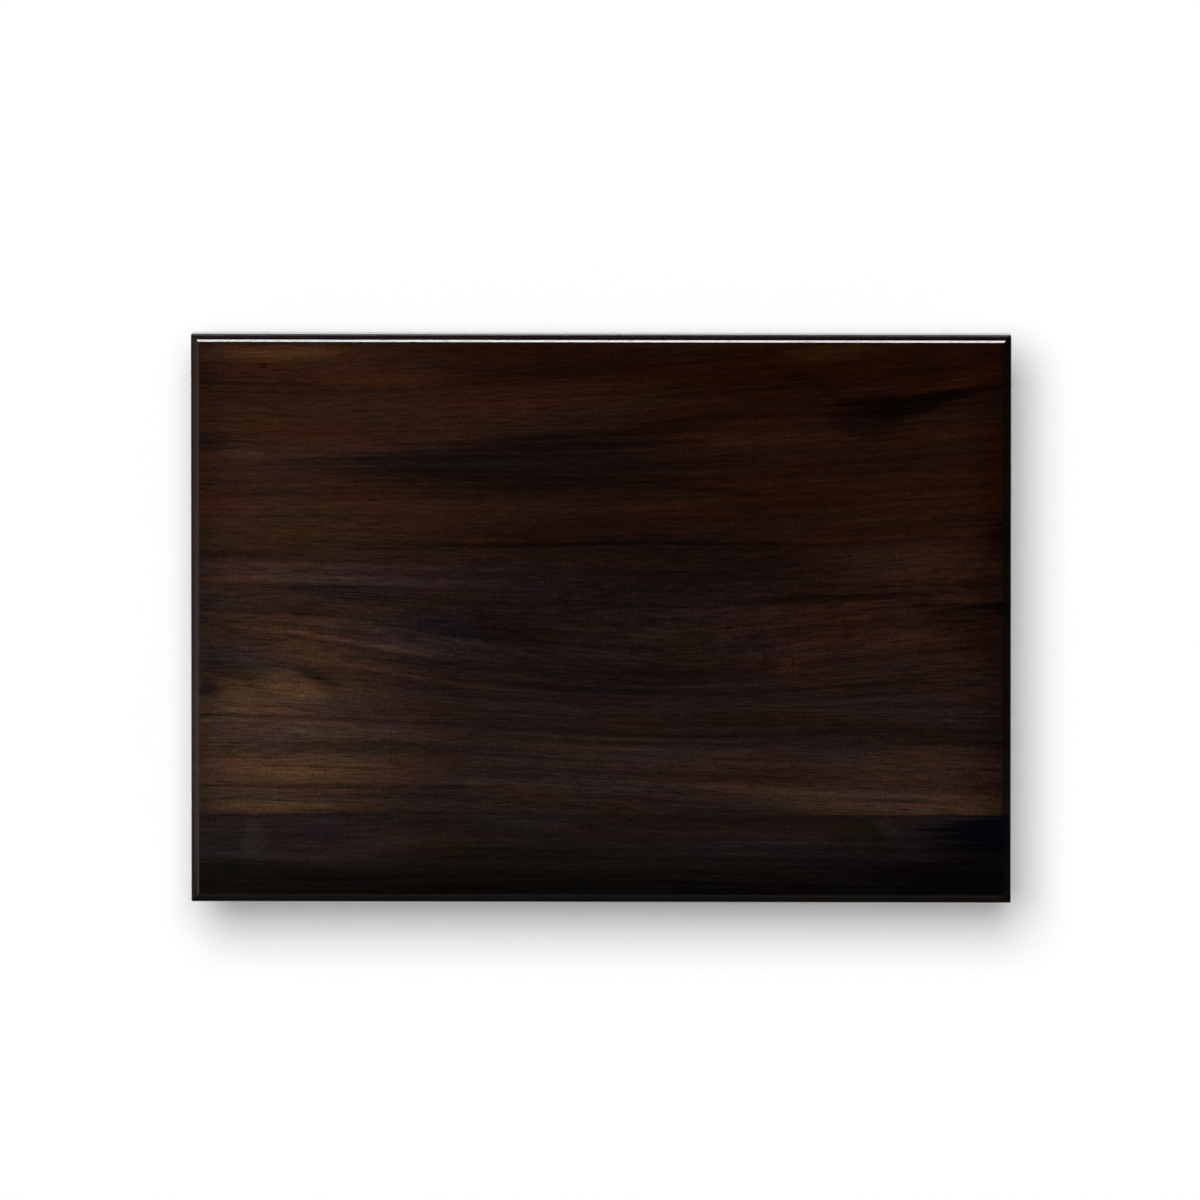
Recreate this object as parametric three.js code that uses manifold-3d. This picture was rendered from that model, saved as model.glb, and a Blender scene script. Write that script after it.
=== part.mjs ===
// Photo album stand: a low wooden stand with a flat, moulded top that carries a closed album.
//
// Two boards are glued edge to edge over a loose tongue. A moulding runs round all four edges
// of the top. Two slotted battens are screwed across the underside to keep the boards flat,
// and four turned bun feet hang on bolts in threaded inserts, each with a felt pad.
//
// Millimetres, +Z up. The origin is on the table, under the middle of the stand. Front is -Y.
// Every piece is drawn from its seating face, so that faces that touch share one height.

import * as THREE from 'three';
import { mergeVertices } from 'three/addons/utils/BufferGeometryUtils.js';
import Module from 'manifold-3d';

const wasm = await Module();
wasm.setup();

// ---- Driving dimensions ----

// Top
const topWidth = 457.2;
const topDepth = 317.5;
const topThickness = 20;
const frontBoardDepth = 49.2;
const cornerRadius = 0.8;

// Moulding, from the flat field outwards (the slope's angle is in degrees from level)
const slopeEase = 1.1;
const slopeAngle = 40;
const slopeWidth = 1.1;
const ledgeWidth = 1.3;
const roundRadius = 1.8;
const undersideEase = 1.5;

// Loose tongue in the seam between the boards
const tongueWidth = 14;
const tongueThickness = 6;
const tongueEndInset = 22;
const glueRoom = 0.5;

// Battens
const battenWidth = 38;
const battenThickness = 14;
const battenEndInset = 16;
const battenSpacing = 240;
const battenEndChamfer = 8;
const battenEdgeChamfer = 2;

// Batten screws and washers
const screwEndInset = 15;
const screwDiameter = 4;
const screwHeadDiameter = 8;
const screwHeadHeight = 3;
const screwBite = 12;
const screwPointLength = 4;
const washerDiameter = 10;
const washerThickness = 1;
const washerHoleDiameter = 4.6;
const counterboreDepth = 5;
const boardMovement = 3;

// Feet
const footInset = 25;
const footHeight = 34;
const footSeatDiameter = 36;
const footBeadRadius = 2;
const footCoveRim = 32;
const footNeckDiameter = 27;
const footCoveHeight = 6;
const footBulbDiameter = 44;
const footBulbHeight = 20;
const footBaseDiameter = 32;
const footBaseEase = 1;

// Hanger bolts and threaded inserts
const boltDiameter = 8;
const boltReach = 10;
const boltPointLength = 4;
const boltWoodLength = 20;
const collarDiameter = 11;
const collarHeight = 1.6;
const insertDiameter = 12;
const insertLength = 12;
const insertFlangeDiameter = 15;
const insertFlangeHeight = 1.2;

// Felt pads
const padDiameter = 28;
const padThickness = 3;

// Clearances and smoothness
const shaftGap = 0.3;
const cutMargin = 5;
const arcDivisions = 4;
const turnedDivisions = 3;
const footSides = 28;
const hardwareSides = 16;
const holeSides = 20;

// ---- Heights and places that follow ----

const footBottom = padThickness;
const topBottom = footBottom + footHeight;
const seamY = frontBoardDepth - topDepth / 2;
const tongueHeight = topThickness / 2;
const battenLength = topDepth - 2 * battenEndInset;
const screwSpread = battenLength / 2 - screwEndInset;
const screwSeat = counterboreDepth - battenThickness;
const screwLength = washerThickness - screwSeat + screwBite;
const footX = topWidth / 2 - footInset;
const footY = topDepth / 2 - footInset;

const sides = [
  { name: 'left', sign: -1 },
  { name: 'right', sign: 1 },
];
const depths = [
  { name: 'front', sign: -1 },
  { name: 'back', sign: 1 },
];
const screwRows = [
  { name: 'front', sign: -1, play: boardMovement },
  { name: 'middle', sign: 0, play: 0 },
  { name: 'back', sign: 1, play: boardMovement },
];

// ---- Materials ----

function finish(color, roughness, metalness) {
  return new THREE.MeshStandardMaterial({ color, roughness, metalness });
}

const mainBoardLacquer = () => finish(0x2b1a12, 0.3, 0);
const frontBoardLacquer = () => finish(0x1b1310, 0.3, 0);
const undersideLacquer = () => finish(0x24160f, 0.42, 0);
const turnedLacquer = () => finish(0x22140d, 0.28, 0);
const bareWood = () => finish(0x9a7650, 0.75, 0);
const zincSteel = () => finish(0xa9adb0, 0.38, 0.9);
const brass = () => finish(0xb08d4a, 0.35, 0.9);
const felt = () => finish(0x2a221d, 0.95, 0);

// ---- Cutting and joining ----

function toSolid(geometry) {
  geometry.deleteAttribute('normal');
  geometry.deleteAttribute('uv');
  const merged = mergeVertices(geometry);
  return new wasm.Manifold(new wasm.Mesh({
    numProp: 3,
    vertProperties: merged.attributes.position.array,
    triVerts: new Uint32Array(merged.index.array),
  }));
}

function toGeometry(solid) {
  const { vertProperties, triVerts } = solid.getMesh();
  const geometry = new THREE.BufferGeometry();
  geometry.setAttribute('position', new THREE.BufferAttribute(vertProperties, 3));
  geometry.setIndex(new THREE.BufferAttribute(triVerts, 1));
  geometry.computeVertexNormals();
  return geometry;
}

// A profile drawn in X and Z, run along Y and centred on it.
function runAlongY(shape, length) {
  return new THREE.ExtrudeGeometry(shape, { depth: length, bevelEnabled: false })
    .rotateX(Math.PI / 2)
    .translate(0, length / 2, 0);
}

// Two profiles crossed at right angles: their edges meet in true mitres at the four corners.
function crossedRuns(profile, width, depth) {
  const lengthwise = runAlongY(profile(width), depth + 2 * cutMargin);
  const crosswise = runAlongY(profile(depth), width + 2 * cutMargin).rotateZ(Math.PI / 2);
  return toSolid(lengthwise).intersect(toSolid(crosswise));
}

function block(width, depth, height) {
  return new THREE.BoxGeometry(width, depth, height);
}

// A round tool entering from below: its tip ends at the given height.
function holeFromBelow(diameter, x, y, bottom, tip) {
  const height = tip - bottom + cutMargin;
  const hole = new THREE.CylinderGeometry(diameter / 2, diameter / 2, height, holeSides)
    .rotateX(Math.PI / 2)
    .translate(x, y, tip - height / 2);
  return toSolid(hole);
}

// A slot with round ends along Y, as wide as its tool, from one height up to another.
function slotAlongY(diameter, play, y, bottom, tip) {
  const radius = diameter / 2;
  const outline = new THREE.Shape()
    .absarc(0, y + play, radius, 0, Math.PI, false)
    .absarc(0, y - play, radius, Math.PI, 2 * Math.PI, false);
  const slot = new THREE.ExtrudeGeometry(outline, {
    depth: tip - bottom,
    bevelEnabled: false,
    curveSegments: holeSides / 4,
  });
  return toSolid(slot.translate(0, 0, bottom));
}

// A turned piece: half its section as a path, spun about the vertical axis.
function turned(path, divisions, segments) {
  return new THREE.LatheGeometry(path.getPoints(divisions), segments).rotateX(Math.PI / 2);
}

// ---- Top ----

// The top seen end on: eased underside, upright edge, quarter-round, ledge and eased slope.
function mouldedProfile(width) {
  const steepness = THREE.MathUtils.degToRad(slopeAngle);
  const edge = width / 2;
  const slopeFoot = edge - roundRadius - ledgeWidth;
  const slopeHead = slopeFoot - slopeWidth;
  const slopeHeadHeight = topThickness - slopeEase * (1 - Math.cos(steepness));
  const ledgeHeight = slopeHeadHeight - slopeWidth * Math.tan(steepness);
  const fieldEdge = slopeHead - slopeEase * Math.sin(steepness);
  const up = Math.PI / 2;
  const half = new THREE.Path()
    .absarc(edge - undersideEase, undersideEase, undersideEase, -up, 0, false)
    .absarc(edge - roundRadius, ledgeHeight - roundRadius, roundRadius, 0, up, false)
    .lineTo(slopeFoot, ledgeHeight)
    .absarc(fieldEdge, topThickness - slopeEase, slopeEase, up - steepness, up, false);
  const right = half.getPoints(arcDivisions);
  const left = right.map((point) => new THREE.Vector2(-point.x, point.y)).reverse();
  return new THREE.Shape([...right, ...left]);
}

// The plan of the top: a rectangle with its four upright corners just softened.
function roundedPlan(width, depth, radius) {
  const x = width / 2 - radius;
  const y = depth / 2 - radius;
  return new THREE.Shape()
    .absarc(x, y, radius, 0, Math.PI / 2, false)
    .absarc(-x, y, radius, Math.PI / 2, Math.PI, false)
    .absarc(-x, -y, radius, Math.PI, 1.5 * Math.PI, false)
    .absarc(x, -y, radius, 1.5 * Math.PI, 2 * Math.PI, false);
}

// The whole moulded top, drawn from the seam: the seam is at y = 0 and the underside at z = 0.
function mouldedTop() {
  const plan = new THREE.ExtrudeGeometry(roundedPlan(topWidth, topDepth, cornerRadius), {
    depth: topThickness + 2 * cutMargin,
    bevelEnabled: false,
    curveSegments: arcDivisions,
  });
  plan.translate(0, 0, -cutMargin);
  return crossedRuns(mouldedProfile, topWidth, topDepth)
    .intersect(toSolid(plan))
    .translate([0, -seamY, 0]);
}

function tongueBlock(extra) {
  const length = topWidth - 2 * tongueEndInset + 2 * extra;
  return block(length, tongueWidth + 2 * extra, tongueThickness).translate(0, 0, tongueHeight);
}

// The pockets in the underside for the batten screws and the inserts of one board.
function undersidePockets() {
  const pockets = [];
  for (const side of sides) {
    const screwX = side.sign * battenSpacing / 2;
    for (const row of screwRows) {
      const screwY = row.sign * screwSpread - seamY;
      const pilot = screwDiameter + 2 * shaftGap;
      pockets.push(holeFromBelow(pilot, screwX, screwY, 0, screwBite + shaftGap));
    }
    for (const depth of depths) {
      const x = side.sign * footX;
      const y = depth.sign * footY - seamY;
      const insertHole = insertDiameter + 2 * shaftGap;
      const flangeHole = insertFlangeDiameter + 2 * shaftGap;
      pockets.push(holeFromBelow(insertHole, x, y, 0, insertLength + shaftGap));
      pockets.push(holeFromBelow(flangeHole, x, y, 0, insertFlangeHeight));
    }
  }
  return pockets;
}

// One board of the top: the part of it on one side of the seam, grooved and bored.
function board(sign) {
  const half = block(topWidth + 2 * cutMargin, topDepth, topThickness + 2 * cutMargin)
    .translate(0, sign * topDepth / 2, topThickness / 2);
  let solid = mouldedTop().intersect(toSolid(half)).subtract(toSolid(tongueBlock(glueRoom)));
  for (const pocket of undersidePockets()) {
    solid = solid.subtract(pocket);
  }
  return toGeometry(solid);
}

// ---- Battens ----

// A batten seen end on or from the side, hanging from z = 0, with its lower corners chamfered.
function hangingProfile(chamfer) {
  return (width) => new THREE.Shape()
    .moveTo(width / 2, 0)
    .lineTo(-width / 2, 0)
    .lineTo(-width / 2, chamfer - battenThickness)
    .lineTo(chamfer - width / 2, -battenThickness)
    .lineTo(width / 2 - chamfer, -battenThickness)
    .lineTo(width / 2, chamfer - battenThickness);
}

function batten() {
  const section = runAlongY(hangingProfile(battenEdgeChamfer)(battenWidth), battenLength);
  const sideView = runAlongY(hangingProfile(battenEndChamfer)(battenLength), battenWidth);
  let solid = toSolid(section).intersect(toSolid(sideView.rotateZ(Math.PI / 2)));
  for (const row of screwRows) {
    const y = row.sign * screwSpread;
    const shankSlot = screwDiameter + 2 * shaftGap;
    const headSlot = washerDiameter + 2 * shaftGap;
    const below = -battenThickness - cutMargin;
    solid = solid.subtract(slotAlongY(shankSlot, row.play, y, below, cutMargin));
    solid = solid.subtract(slotAlongY(headSlot, row.play, y, below, screwSeat));
  }
  return toGeometry(solid);
}

// A washer, hanging from the floor of its counterbore at z = 0.
function washer() {
  const inner = washerHoleDiameter / 2;
  const outer = washerDiameter / 2;
  const section = new THREE.Path()
    .moveTo(inner, -washerThickness)
    .lineTo(outer, -washerThickness)
    .lineTo(outer, 0)
    .lineTo(inner, 0)
    .lineTo(inner, -washerThickness);
  return turned(section, 1, holeSides);
}

// A round-headed wood screw, pointing up, with the underside of its head at z = 0.
function battenScrew() {
  const shank = screwDiameter / 2;
  const head = screwHeadDiameter / 2;
  const section = new THREE.Path()
    .absellipse(0, 0, head, screwHeadHeight, -Math.PI / 2, 0, false)
    .lineTo(shank, 0)
    .lineTo(shank, screwLength - screwPointLength)
    .lineTo(0, screwLength);
  return turned(section, turnedDivisions, hardwareSides);
}

// ---- Feet ----

// A turned bun foot, hanging from its seat at z = 0: bead, cove, bulb and base,
// with a stepped hole down its middle for the hanger bolt and the bolt's collar.
function bunFoot() {
  const bore = boltDiameter / 2 + shaftGap;
  const collarBore = collarDiameter / 2 + shaftGap;
  const boreEnd = -collarHeight - boltWoodLength - shaftGap;
  const seat = footSeatDiameter / 2;
  const coveRim = footCoveRim / 2;
  const coveMiddle = -2 * footBeadRadius - footCoveHeight / 2;
  const coveDepth = coveRim - footNeckDiameter / 2;
  const base = footBaseDiameter / 2;
  const bulbMiddle = -2 * footBeadRadius - footCoveHeight - footBulbHeight / 2;
  const bulbReach = footBulbDiameter / 2 - base;
  const up = Math.PI / 2;
  const section = new THREE.Path()
    .moveTo(0, -footHeight)
    .lineTo(base - footBaseEase, -footHeight)
    .lineTo(base, footBaseEase - footHeight)
    .absellipse(base, bulbMiddle, bulbReach, footBulbHeight / 2, -up, up, false)
    .absellipse(coveRim, coveMiddle, coveDepth, footCoveHeight / 2, 3 * up, up, true)
    .absarc(seat - footBeadRadius, -footBeadRadius, footBeadRadius, -up, up, false)
    .lineTo(collarBore, 0)
    .lineTo(collarBore, -collarHeight)
    .lineTo(bore, -collarHeight)
    .lineTo(bore, boreEnd)
    .lineTo(0, boreEnd);
  return turned(section, turnedDivisions, footSides);
}

// A hanger bolt, drawn from the top face of its collar at z = 0.
// Its machine thread points up into the insert and its wood thread down into the foot.
function hangerBolt() {
  const shank = boltDiameter / 2;
  const collar = collarDiameter / 2;
  const woodEnd = -collarHeight - boltWoodLength;
  const section = new THREE.Path()
    .moveTo(0, woodEnd)
    .lineTo(shank, woodEnd + boltPointLength)
    .lineTo(shank, -collarHeight)
    .lineTo(collar, -collarHeight)
    .lineTo(collar, 0)
    .lineTo(shank, 0)
    .lineTo(shank, boltReach)
    .lineTo(0, boltReach);
  return turned(section, 1, hardwareSides);
}

// A flanged threaded insert, set flush in the underside of a board at z = 0.
function threadedInsert() {
  const bore = boltDiameter / 2 + shaftGap;
  const body = insertDiameter / 2;
  const flange = insertFlangeDiameter / 2;
  const section = new THREE.Path()
    .moveTo(bore, 0)
    .lineTo(flange, 0)
    .lineTo(flange, insertFlangeHeight)
    .lineTo(body, insertFlangeHeight)
    .lineTo(body, insertLength)
    .lineTo(bore, insertLength)
    .lineTo(bore, 0);
  return turned(section, 1, holeSides);
}

// A felt pad, stuck to the base of a foot at z = 0.
function feltPad() {
  return new THREE.CylinderGeometry(padDiameter / 2, padDiameter / 2, padThickness, footSides)
    .rotateX(Math.PI / 2)
    .translate(0, 0, -padThickness / 2);
}

// ---- Assembly ----

const stand = new THREE.Group();

function place(name, geometry, material, x, y, z) {
  const mesh = new THREE.Mesh(geometry, material);
  mesh.name = name;
  mesh.position.set(x, y, z);
  stand.add(mesh);
}

place('main_board', board(1), mainBoardLacquer(), 0, seamY, topBottom);
place('front_board', board(-1), frontBoardLacquer(), 0, seamY, topBottom);
place('seam_tongue', tongueBlock(0), bareWood(), 0, seamY, topBottom);

for (const side of sides) {
  const x = side.sign * battenSpacing / 2;
  place(`batten_${side.name}`, batten(), undersideLacquer(), x, 0, topBottom);
  for (const row of screwRows) {
    const y = row.sign * screwSpread;
    const seat = topBottom + screwSeat;
    const where = `${side.name}_${row.name}`;
    place(`batten_washer_${where}`, washer(), zincSteel(), x, y, seat);
    place(`batten_screw_${where}`, battenScrew(), zincSteel(), x, y, seat - washerThickness);
  }
}

for (const depth of depths) {
  for (const side of sides) {
    const x = side.sign * footX;
    const y = depth.sign * footY;
    const where = `${depth.name}_${side.name}`;
    place(`foot_${where}`, bunFoot(), turnedLacquer(), x, y, topBottom);
    place(`foot_bolt_${where}`, hangerBolt(), zincSteel(), x, y, topBottom);
    place(`foot_insert_${where}`, threadedInsert(), brass(), x, y, topBottom);
    place(`felt_pad_${where}`, feltPad(), felt(), x, y, footBottom);
  }
}

export default stand;
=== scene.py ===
"""Looks of a low wooden album stand: a moulded two-board top on battens and turned feet."""

import logging
import math
from dataclasses import dataclass, field
from enum import Enum
from functools import partial
from typing import Sequence

import bmesh
import bpy
from mathutils import Matrix, Vector, noise


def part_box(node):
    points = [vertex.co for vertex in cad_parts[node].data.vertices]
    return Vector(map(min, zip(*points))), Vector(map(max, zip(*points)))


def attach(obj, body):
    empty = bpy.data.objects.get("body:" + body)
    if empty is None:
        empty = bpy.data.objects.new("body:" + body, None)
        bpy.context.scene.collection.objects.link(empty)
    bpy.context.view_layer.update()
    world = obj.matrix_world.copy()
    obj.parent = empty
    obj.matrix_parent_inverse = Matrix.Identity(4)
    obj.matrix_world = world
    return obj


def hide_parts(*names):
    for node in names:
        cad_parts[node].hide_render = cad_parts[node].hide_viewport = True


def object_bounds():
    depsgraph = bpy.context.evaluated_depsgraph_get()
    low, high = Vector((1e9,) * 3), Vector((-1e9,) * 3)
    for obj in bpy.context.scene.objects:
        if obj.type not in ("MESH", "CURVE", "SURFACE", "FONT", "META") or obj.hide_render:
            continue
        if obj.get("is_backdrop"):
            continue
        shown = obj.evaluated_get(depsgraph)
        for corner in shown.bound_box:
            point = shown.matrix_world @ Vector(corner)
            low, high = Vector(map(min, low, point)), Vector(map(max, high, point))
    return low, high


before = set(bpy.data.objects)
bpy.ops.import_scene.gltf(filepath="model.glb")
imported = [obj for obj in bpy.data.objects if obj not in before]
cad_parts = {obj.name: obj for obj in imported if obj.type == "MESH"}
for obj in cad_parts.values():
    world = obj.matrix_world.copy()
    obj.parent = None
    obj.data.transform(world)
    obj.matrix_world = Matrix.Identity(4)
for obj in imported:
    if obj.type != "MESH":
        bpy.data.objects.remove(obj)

MM = 0.001
PLACE_DIGITS = 7
BODY = "root"
FULL_TURN = 2 * math.pi
WELD = 0.001 * MM
NOISE_MIDDLE = 0.5

log = logging.getLogger("album_stand")

Material = bpy.types.Material
Outputs = bpy.types.NodeOutputs
Socket = bpy.types.NodeSocket
Solid = bmesh.types.BMesh
Sockets = tuple[Socket, Socket, Socket]
Pair = tuple[float, float]
Triple = tuple[float, float, float]
Colour = Triple


class Place(Enum):
    """A place on the stand."""

    @property
    def word(self) -> str:
        """The name as the parts use it."""
        return self.name.lower()


class Side(Place):
    """The two ends of the stand."""

    LEFT = -1
    RIGHT = 1


class Depth(Place):
    """The front and back of the stand."""

    FRONT = -1
    BACK = 1


class Row(Place):
    """The three screws of a batten, from the front."""

    FRONT = -1
    MIDDLE = 0
    BACK = 1


class Grain(Enum):
    """The axis that a piece's grain runs along, as the turn that lays it along X."""

    ALONG_Y = (0.0, 0.0, -math.pi / 2)
    ALONG_Z = (0.0, math.pi / 2, 0.0)


# ---------------------------------------------------------------------------
# Shader building
# ---------------------------------------------------------------------------


@dataclass
class NodeBench:
    """One node tree, with short ways to add nodes to it and wire them."""

    tree: bpy.types.NodeTree

    def feed(self, socket: Socket, value: object) -> None:
        """Links a socket or sets a constant.

        Args:
            socket: The input to fill.
            value: Another node's output, or a plain value.
        """
        if isinstance(value, bpy.types.NodeSocket):
            self.tree.links.new(value, socket)
        elif socket.type == "RGBA":
            socket.default_value = (*value, 1.0)
        else:
            socket.default_value = value

    def fill(self, node: bpy.types.Node, inputs: dict) -> None:
        """Fills inputs of a node, by name or index."""
        for key, value in inputs.items():
            self.feed(node.inputs[key], value)

    def add(self, kind: str, inputs: dict | None = None, **settings: object) -> bpy.types.Node:
        """Adds a node.

        Args:
            kind: The node's type.
            inputs: Values or outputs for its inputs, by name or index.
            **settings: The node's own settings.

        Returns:
            The new node.
        """
        node = self.tree.nodes.new(kind)
        for name, value in settings.items():
            setattr(node, name, value)
        self.fill(node, inputs or {})
        return node

    def math(self, operation: str, *values: object) -> Socket:
        """Adds a Math node and returns its result."""
        return self.add("ShaderNodeMath", dict(enumerate(values)), operation=operation).outputs[0]

    def vector(self, operation: str, *values: object) -> bpy.types.Node:
        """Adds a Vector Math node."""
        return self.add("ShaderNodeVectorMath", dict(enumerate(values)), operation=operation)

    def combine(self, x: object, y: object, z: object) -> Socket:
        """Puts three values together as a vector."""
        return self.add("ShaderNodeCombineXYZ", {0: x, 1: y, 2: z}).outputs[0]

    def separate(self, vector: Socket) -> Sockets:
        """Takes a vector apart into its three values."""
        return tuple(self.add("ShaderNodeSeparateXYZ", {0: vector}).outputs)

    def noise(self, vector: Socket, scale: float, detail: float, rough: float) -> Socket:
        """Adds a Noise Texture and returns its value, around a half."""
        inputs = {"Vector": vector, "Scale": scale, "Detail": detail, "Roughness": rough}
        return self.add("ShaderNodeTexNoise", inputs).outputs["Fac"]

    def grain(self, vector: Socket, stretch: Sequence[float], detail: float, rough: float) -> Socket:
        """Adds a Noise Texture with a scale of its own along each axis."""
        return self.noise(self.vector("MULTIPLY", vector, stretch).outputs[0], 1.0, detail, rough)

    def centred(self, value: Socket) -> Socket:
        """Moves a noise's value to lie around zero."""
        return self.math("SUBTRACT", value, NOISE_MIDDLE)

    def smooth(self, value: object, start: object, end: object) -> Socket:
        """Maps a value to 0 at start and 1 at end, with soft ends."""
        inputs = {"Value": value, "From Min": start, "From Max": end}
        return self.add("ShaderNodeMapRange", inputs, interpolation_type="SMOOTHSTEP").outputs["Result"]

    def span(self, value: object, low: float, high: float) -> Socket:
        """Maps 0 to 1 onto low to high."""
        inputs = {"Value": value, "To Min": low, "To Max": high}
        return self.add("ShaderNodeMapRange", inputs, clamp=False).outputs["Result"]

    def tint(self, factor: object, first: object, second: object, mode: str = "MIX") -> Socket:
        """Adds a colour Mix node.

        Args:
            factor: The share of the second colour.
            first: A colour or an output.
            second: A colour or an output.
            mode: The blend type.

        Returns:
            The mixed colour.
        """
        node = self.add("ShaderNodeMix", data_type="RGBA", blend_type=mode)
        self.fill(node, {0: factor, 6: first, 7: second})
        return node.outputs[2]

    def shaded(self, colour: object, shade: object) -> Socket:
        """Multiplies a colour by a value."""
        grey = self.add("ShaderNodeCombineColor", {"Red": shade, "Green": shade, "Blue": shade}).outputs[0]
        return self.tint(1.0, colour, grey, "MULTIPLY")

    def relief(self, strength: float, distance: float, height: Socket) -> Socket:
        """Adds a Bump node and returns its normal."""
        inputs = {"Strength": strength, "Distance": distance, "Height": height}
        return self.add("ShaderNodeBump", inputs).outputs[0]

    def place(self, effect: "type[EffectGroup]", inputs: dict) -> Outputs:
        """Places an effect's node group with its own values and returns its outputs."""
        return self.add("ShaderNodeGroup", inputs, node_tree=effect.tree()).outputs


class EffectGroup:
    """A shader node group that several finishes share, built on first use."""

    name = "effect"
    inputs: Sequence[tuple[str, str, object]] = ()
    outputs: Sequence[tuple[str, str]] = ()

    @classmethod
    def tree(cls) -> bpy.types.NodeTree:
        """Returns the group's node tree, and makes it if it isn't there yet."""
        found = bpy.data.node_groups.get(cls.name)
        if found is not None:
            return found
        tree = bpy.data.node_groups.new(cls.name, "ShaderNodeTree")
        for label, kind, default in cls.inputs:
            socket = tree.interface.new_socket(label, in_out="INPUT", socket_type=kind)
            if default is not None:
                socket.default_value = default
        for label, kind in cls.outputs:
            tree.interface.new_socket(label, in_out="OUTPUT", socket_type=kind)
        bench = NodeBench(tree)
        given = bench.add("NodeGroupInput").outputs
        bench.add("NodeGroupOutput", cls.make(bench, given))
        return tree

    @classmethod
    def make(cls, bench: NodeBench, given: Outputs) -> dict[str, Socket]:
        """Builds the inside of the group.

        Args:
            bench: The bench on the group's tree.
            given: The group's inputs.

        Returns:
            The group's outputs by name.
        """
        raise NotImplementedError


FLOAT = "NodeSocketFloat"
VECTOR = "NodeSocketVector"
COLOR = "NodeSocketColor"


class WoodFibre(EffectGroup):
    """Grain that runs along X: bands, threads, hairs, open pores and short flecks."""

    # Each layer's name, its scale along each axis, its detail and its roughness.
    LAYERS = (
        ("Bands", (3.0, 70.0, 70.0), 3.0, 0.55),
        ("Threads", (8.0, 330.0, 330.0), 4.0, 0.68),
        ("Hairs", (80.0, 1250.0, 1250.0), 2.0, 0.6),
        ("Pores", (260.0, 2300.0, 2300.0), 1.0, 0.4),
        ("Flecks", (620.0, 420.0, 420.0), 2.0, 0.6),
    )
    OPEN_PORES = (0.6, 0.7)

    name = "wood_fibre"
    inputs = (("Vector", VECTOR, None),)
    outputs = tuple((layer[0], FLOAT) for layer in LAYERS)

    @classmethod
    def make(cls, bench: NodeBench, given: Outputs) -> dict[str, Socket]:
        """Builds the grain from stretched noises."""
        grain = {label: bench.grain(given["Vector"], *layer) for label, *layer in cls.LAYERS}
        grain["Pores"] = bench.smooth(grain["Pores"], *cls.OPEN_PORES)
        return grain


class StainDrift(EffectGroup):
    """Slow drift of the wood's hue along the grain, from olive through umber to plum."""

    name = "stain_drift"
    inputs = (("Colour", COLOR, None), ("Vector", VECTOR, None))
    outputs = (("Colour", COLOR),)

    # The scale along each axis, and the two hues: warm to cool, and olive to plum.
    DRIFTS = (
        ((14.0, 75.0, 75.0), (1.10, 0.95, 0.80), (0.90, 1.04, 1.25)),
        ((22.0, 120.0, 120.0), (0.97, 1.05, 0.93), (1.04, 0.95, 1.07)),
    )
    DETAIL = 3.0
    ROUGHNESS = 0.55
    RANGE = (0.3, 0.7)

    @classmethod
    def make(cls, bench: NodeBench, given: Outputs) -> dict[str, Socket]:
        """Builds two drifts, one of warmth and one of tinge."""
        colour = given["Colour"]
        for stretch, first, second in cls.DRIFTS:
            drift = bench.grain(given["Vector"], stretch, cls.DETAIL, cls.ROUGHNESS)
            hue = bench.tint(bench.smooth(drift, *cls.RANGE), first, second)
            colour = bench.tint(1.0, colour, hue, "MULTIPLY")
        return {"Colour": colour}


class FigureMark(EffectGroup):
    """One mark on a board: a soft, frayed and tapered tint along the grain, which draws the figure and also
    painted light and shade.
    """

    name = "figure_mark"
    inputs = (
        ("Colour", COLOR, None),
        ("Tint", COLOR, None),
        ("Strength", FLOAT, 1.0),
        ("Vector", VECTOR, None),
        ("Threads", FLOAT, 0.5),
        ("Fray", FLOAT, 1.0),
        ("Centre", VECTOR, None),
        ("Along Axis", VECTOR, None),
        ("Across Axis", VECTOR, None),
        ("Half Length", FLOAT, 0.05),
        ("Half Width", FLOAT, 0.01),
        ("Taper", FLOAT, 0.0),
        ("Softness", FLOAT, 0.5),
    )
    outputs = (("Colour", COLOR),)

    LEAST_WIDTH = 0.05

    @classmethod
    def make(cls, bench: NodeBench, given: Outputs) -> dict[str, Socket]:
        """Builds the mark's mask from its distance to a tapered ellipse."""
        offset = bench.vector("SUBTRACT", given["Vector"], given["Centre"]).outputs[0]
        along, across = (
            bench.vector("DOT_PRODUCT", offset, given[axis]).outputs["Value"]
            for axis in ("Along Axis", "Across Axis")
        )
        share = bench.math("DIVIDE", along, given["Half Length"])
        share_squared = bench.math("MULTIPLY", share, share)
        narrowing = bench.math("MULTIPLY_ADD", share, given["Taper"], 1.0)
        least = bench.math("MAXIMUM", narrowing, cls.LEAST_WIDTH)
        rise = bench.math("DIVIDE", across, bench.math("MULTIPLY", least, given["Half Width"]))
        reach = bench.math("SQRT", bench.math("MULTIPLY_ADD", rise, rise, share_squared))
        frayed = bench.math("MULTIPLY_ADD", bench.centred(given["Threads"]), given["Fray"], reach)
        outer = bench.math("ADD", given["Softness"], 1.0)
        inner = bench.math("SUBTRACT", 1.0, given["Softness"])
        mask = bench.math("MULTIPLY", bench.smooth(frayed, outer, inner), given["Strength"])
        return {"Colour": bench.tint(mask, given["Colour"], given["Tint"], "MULTIPLY")}


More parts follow.
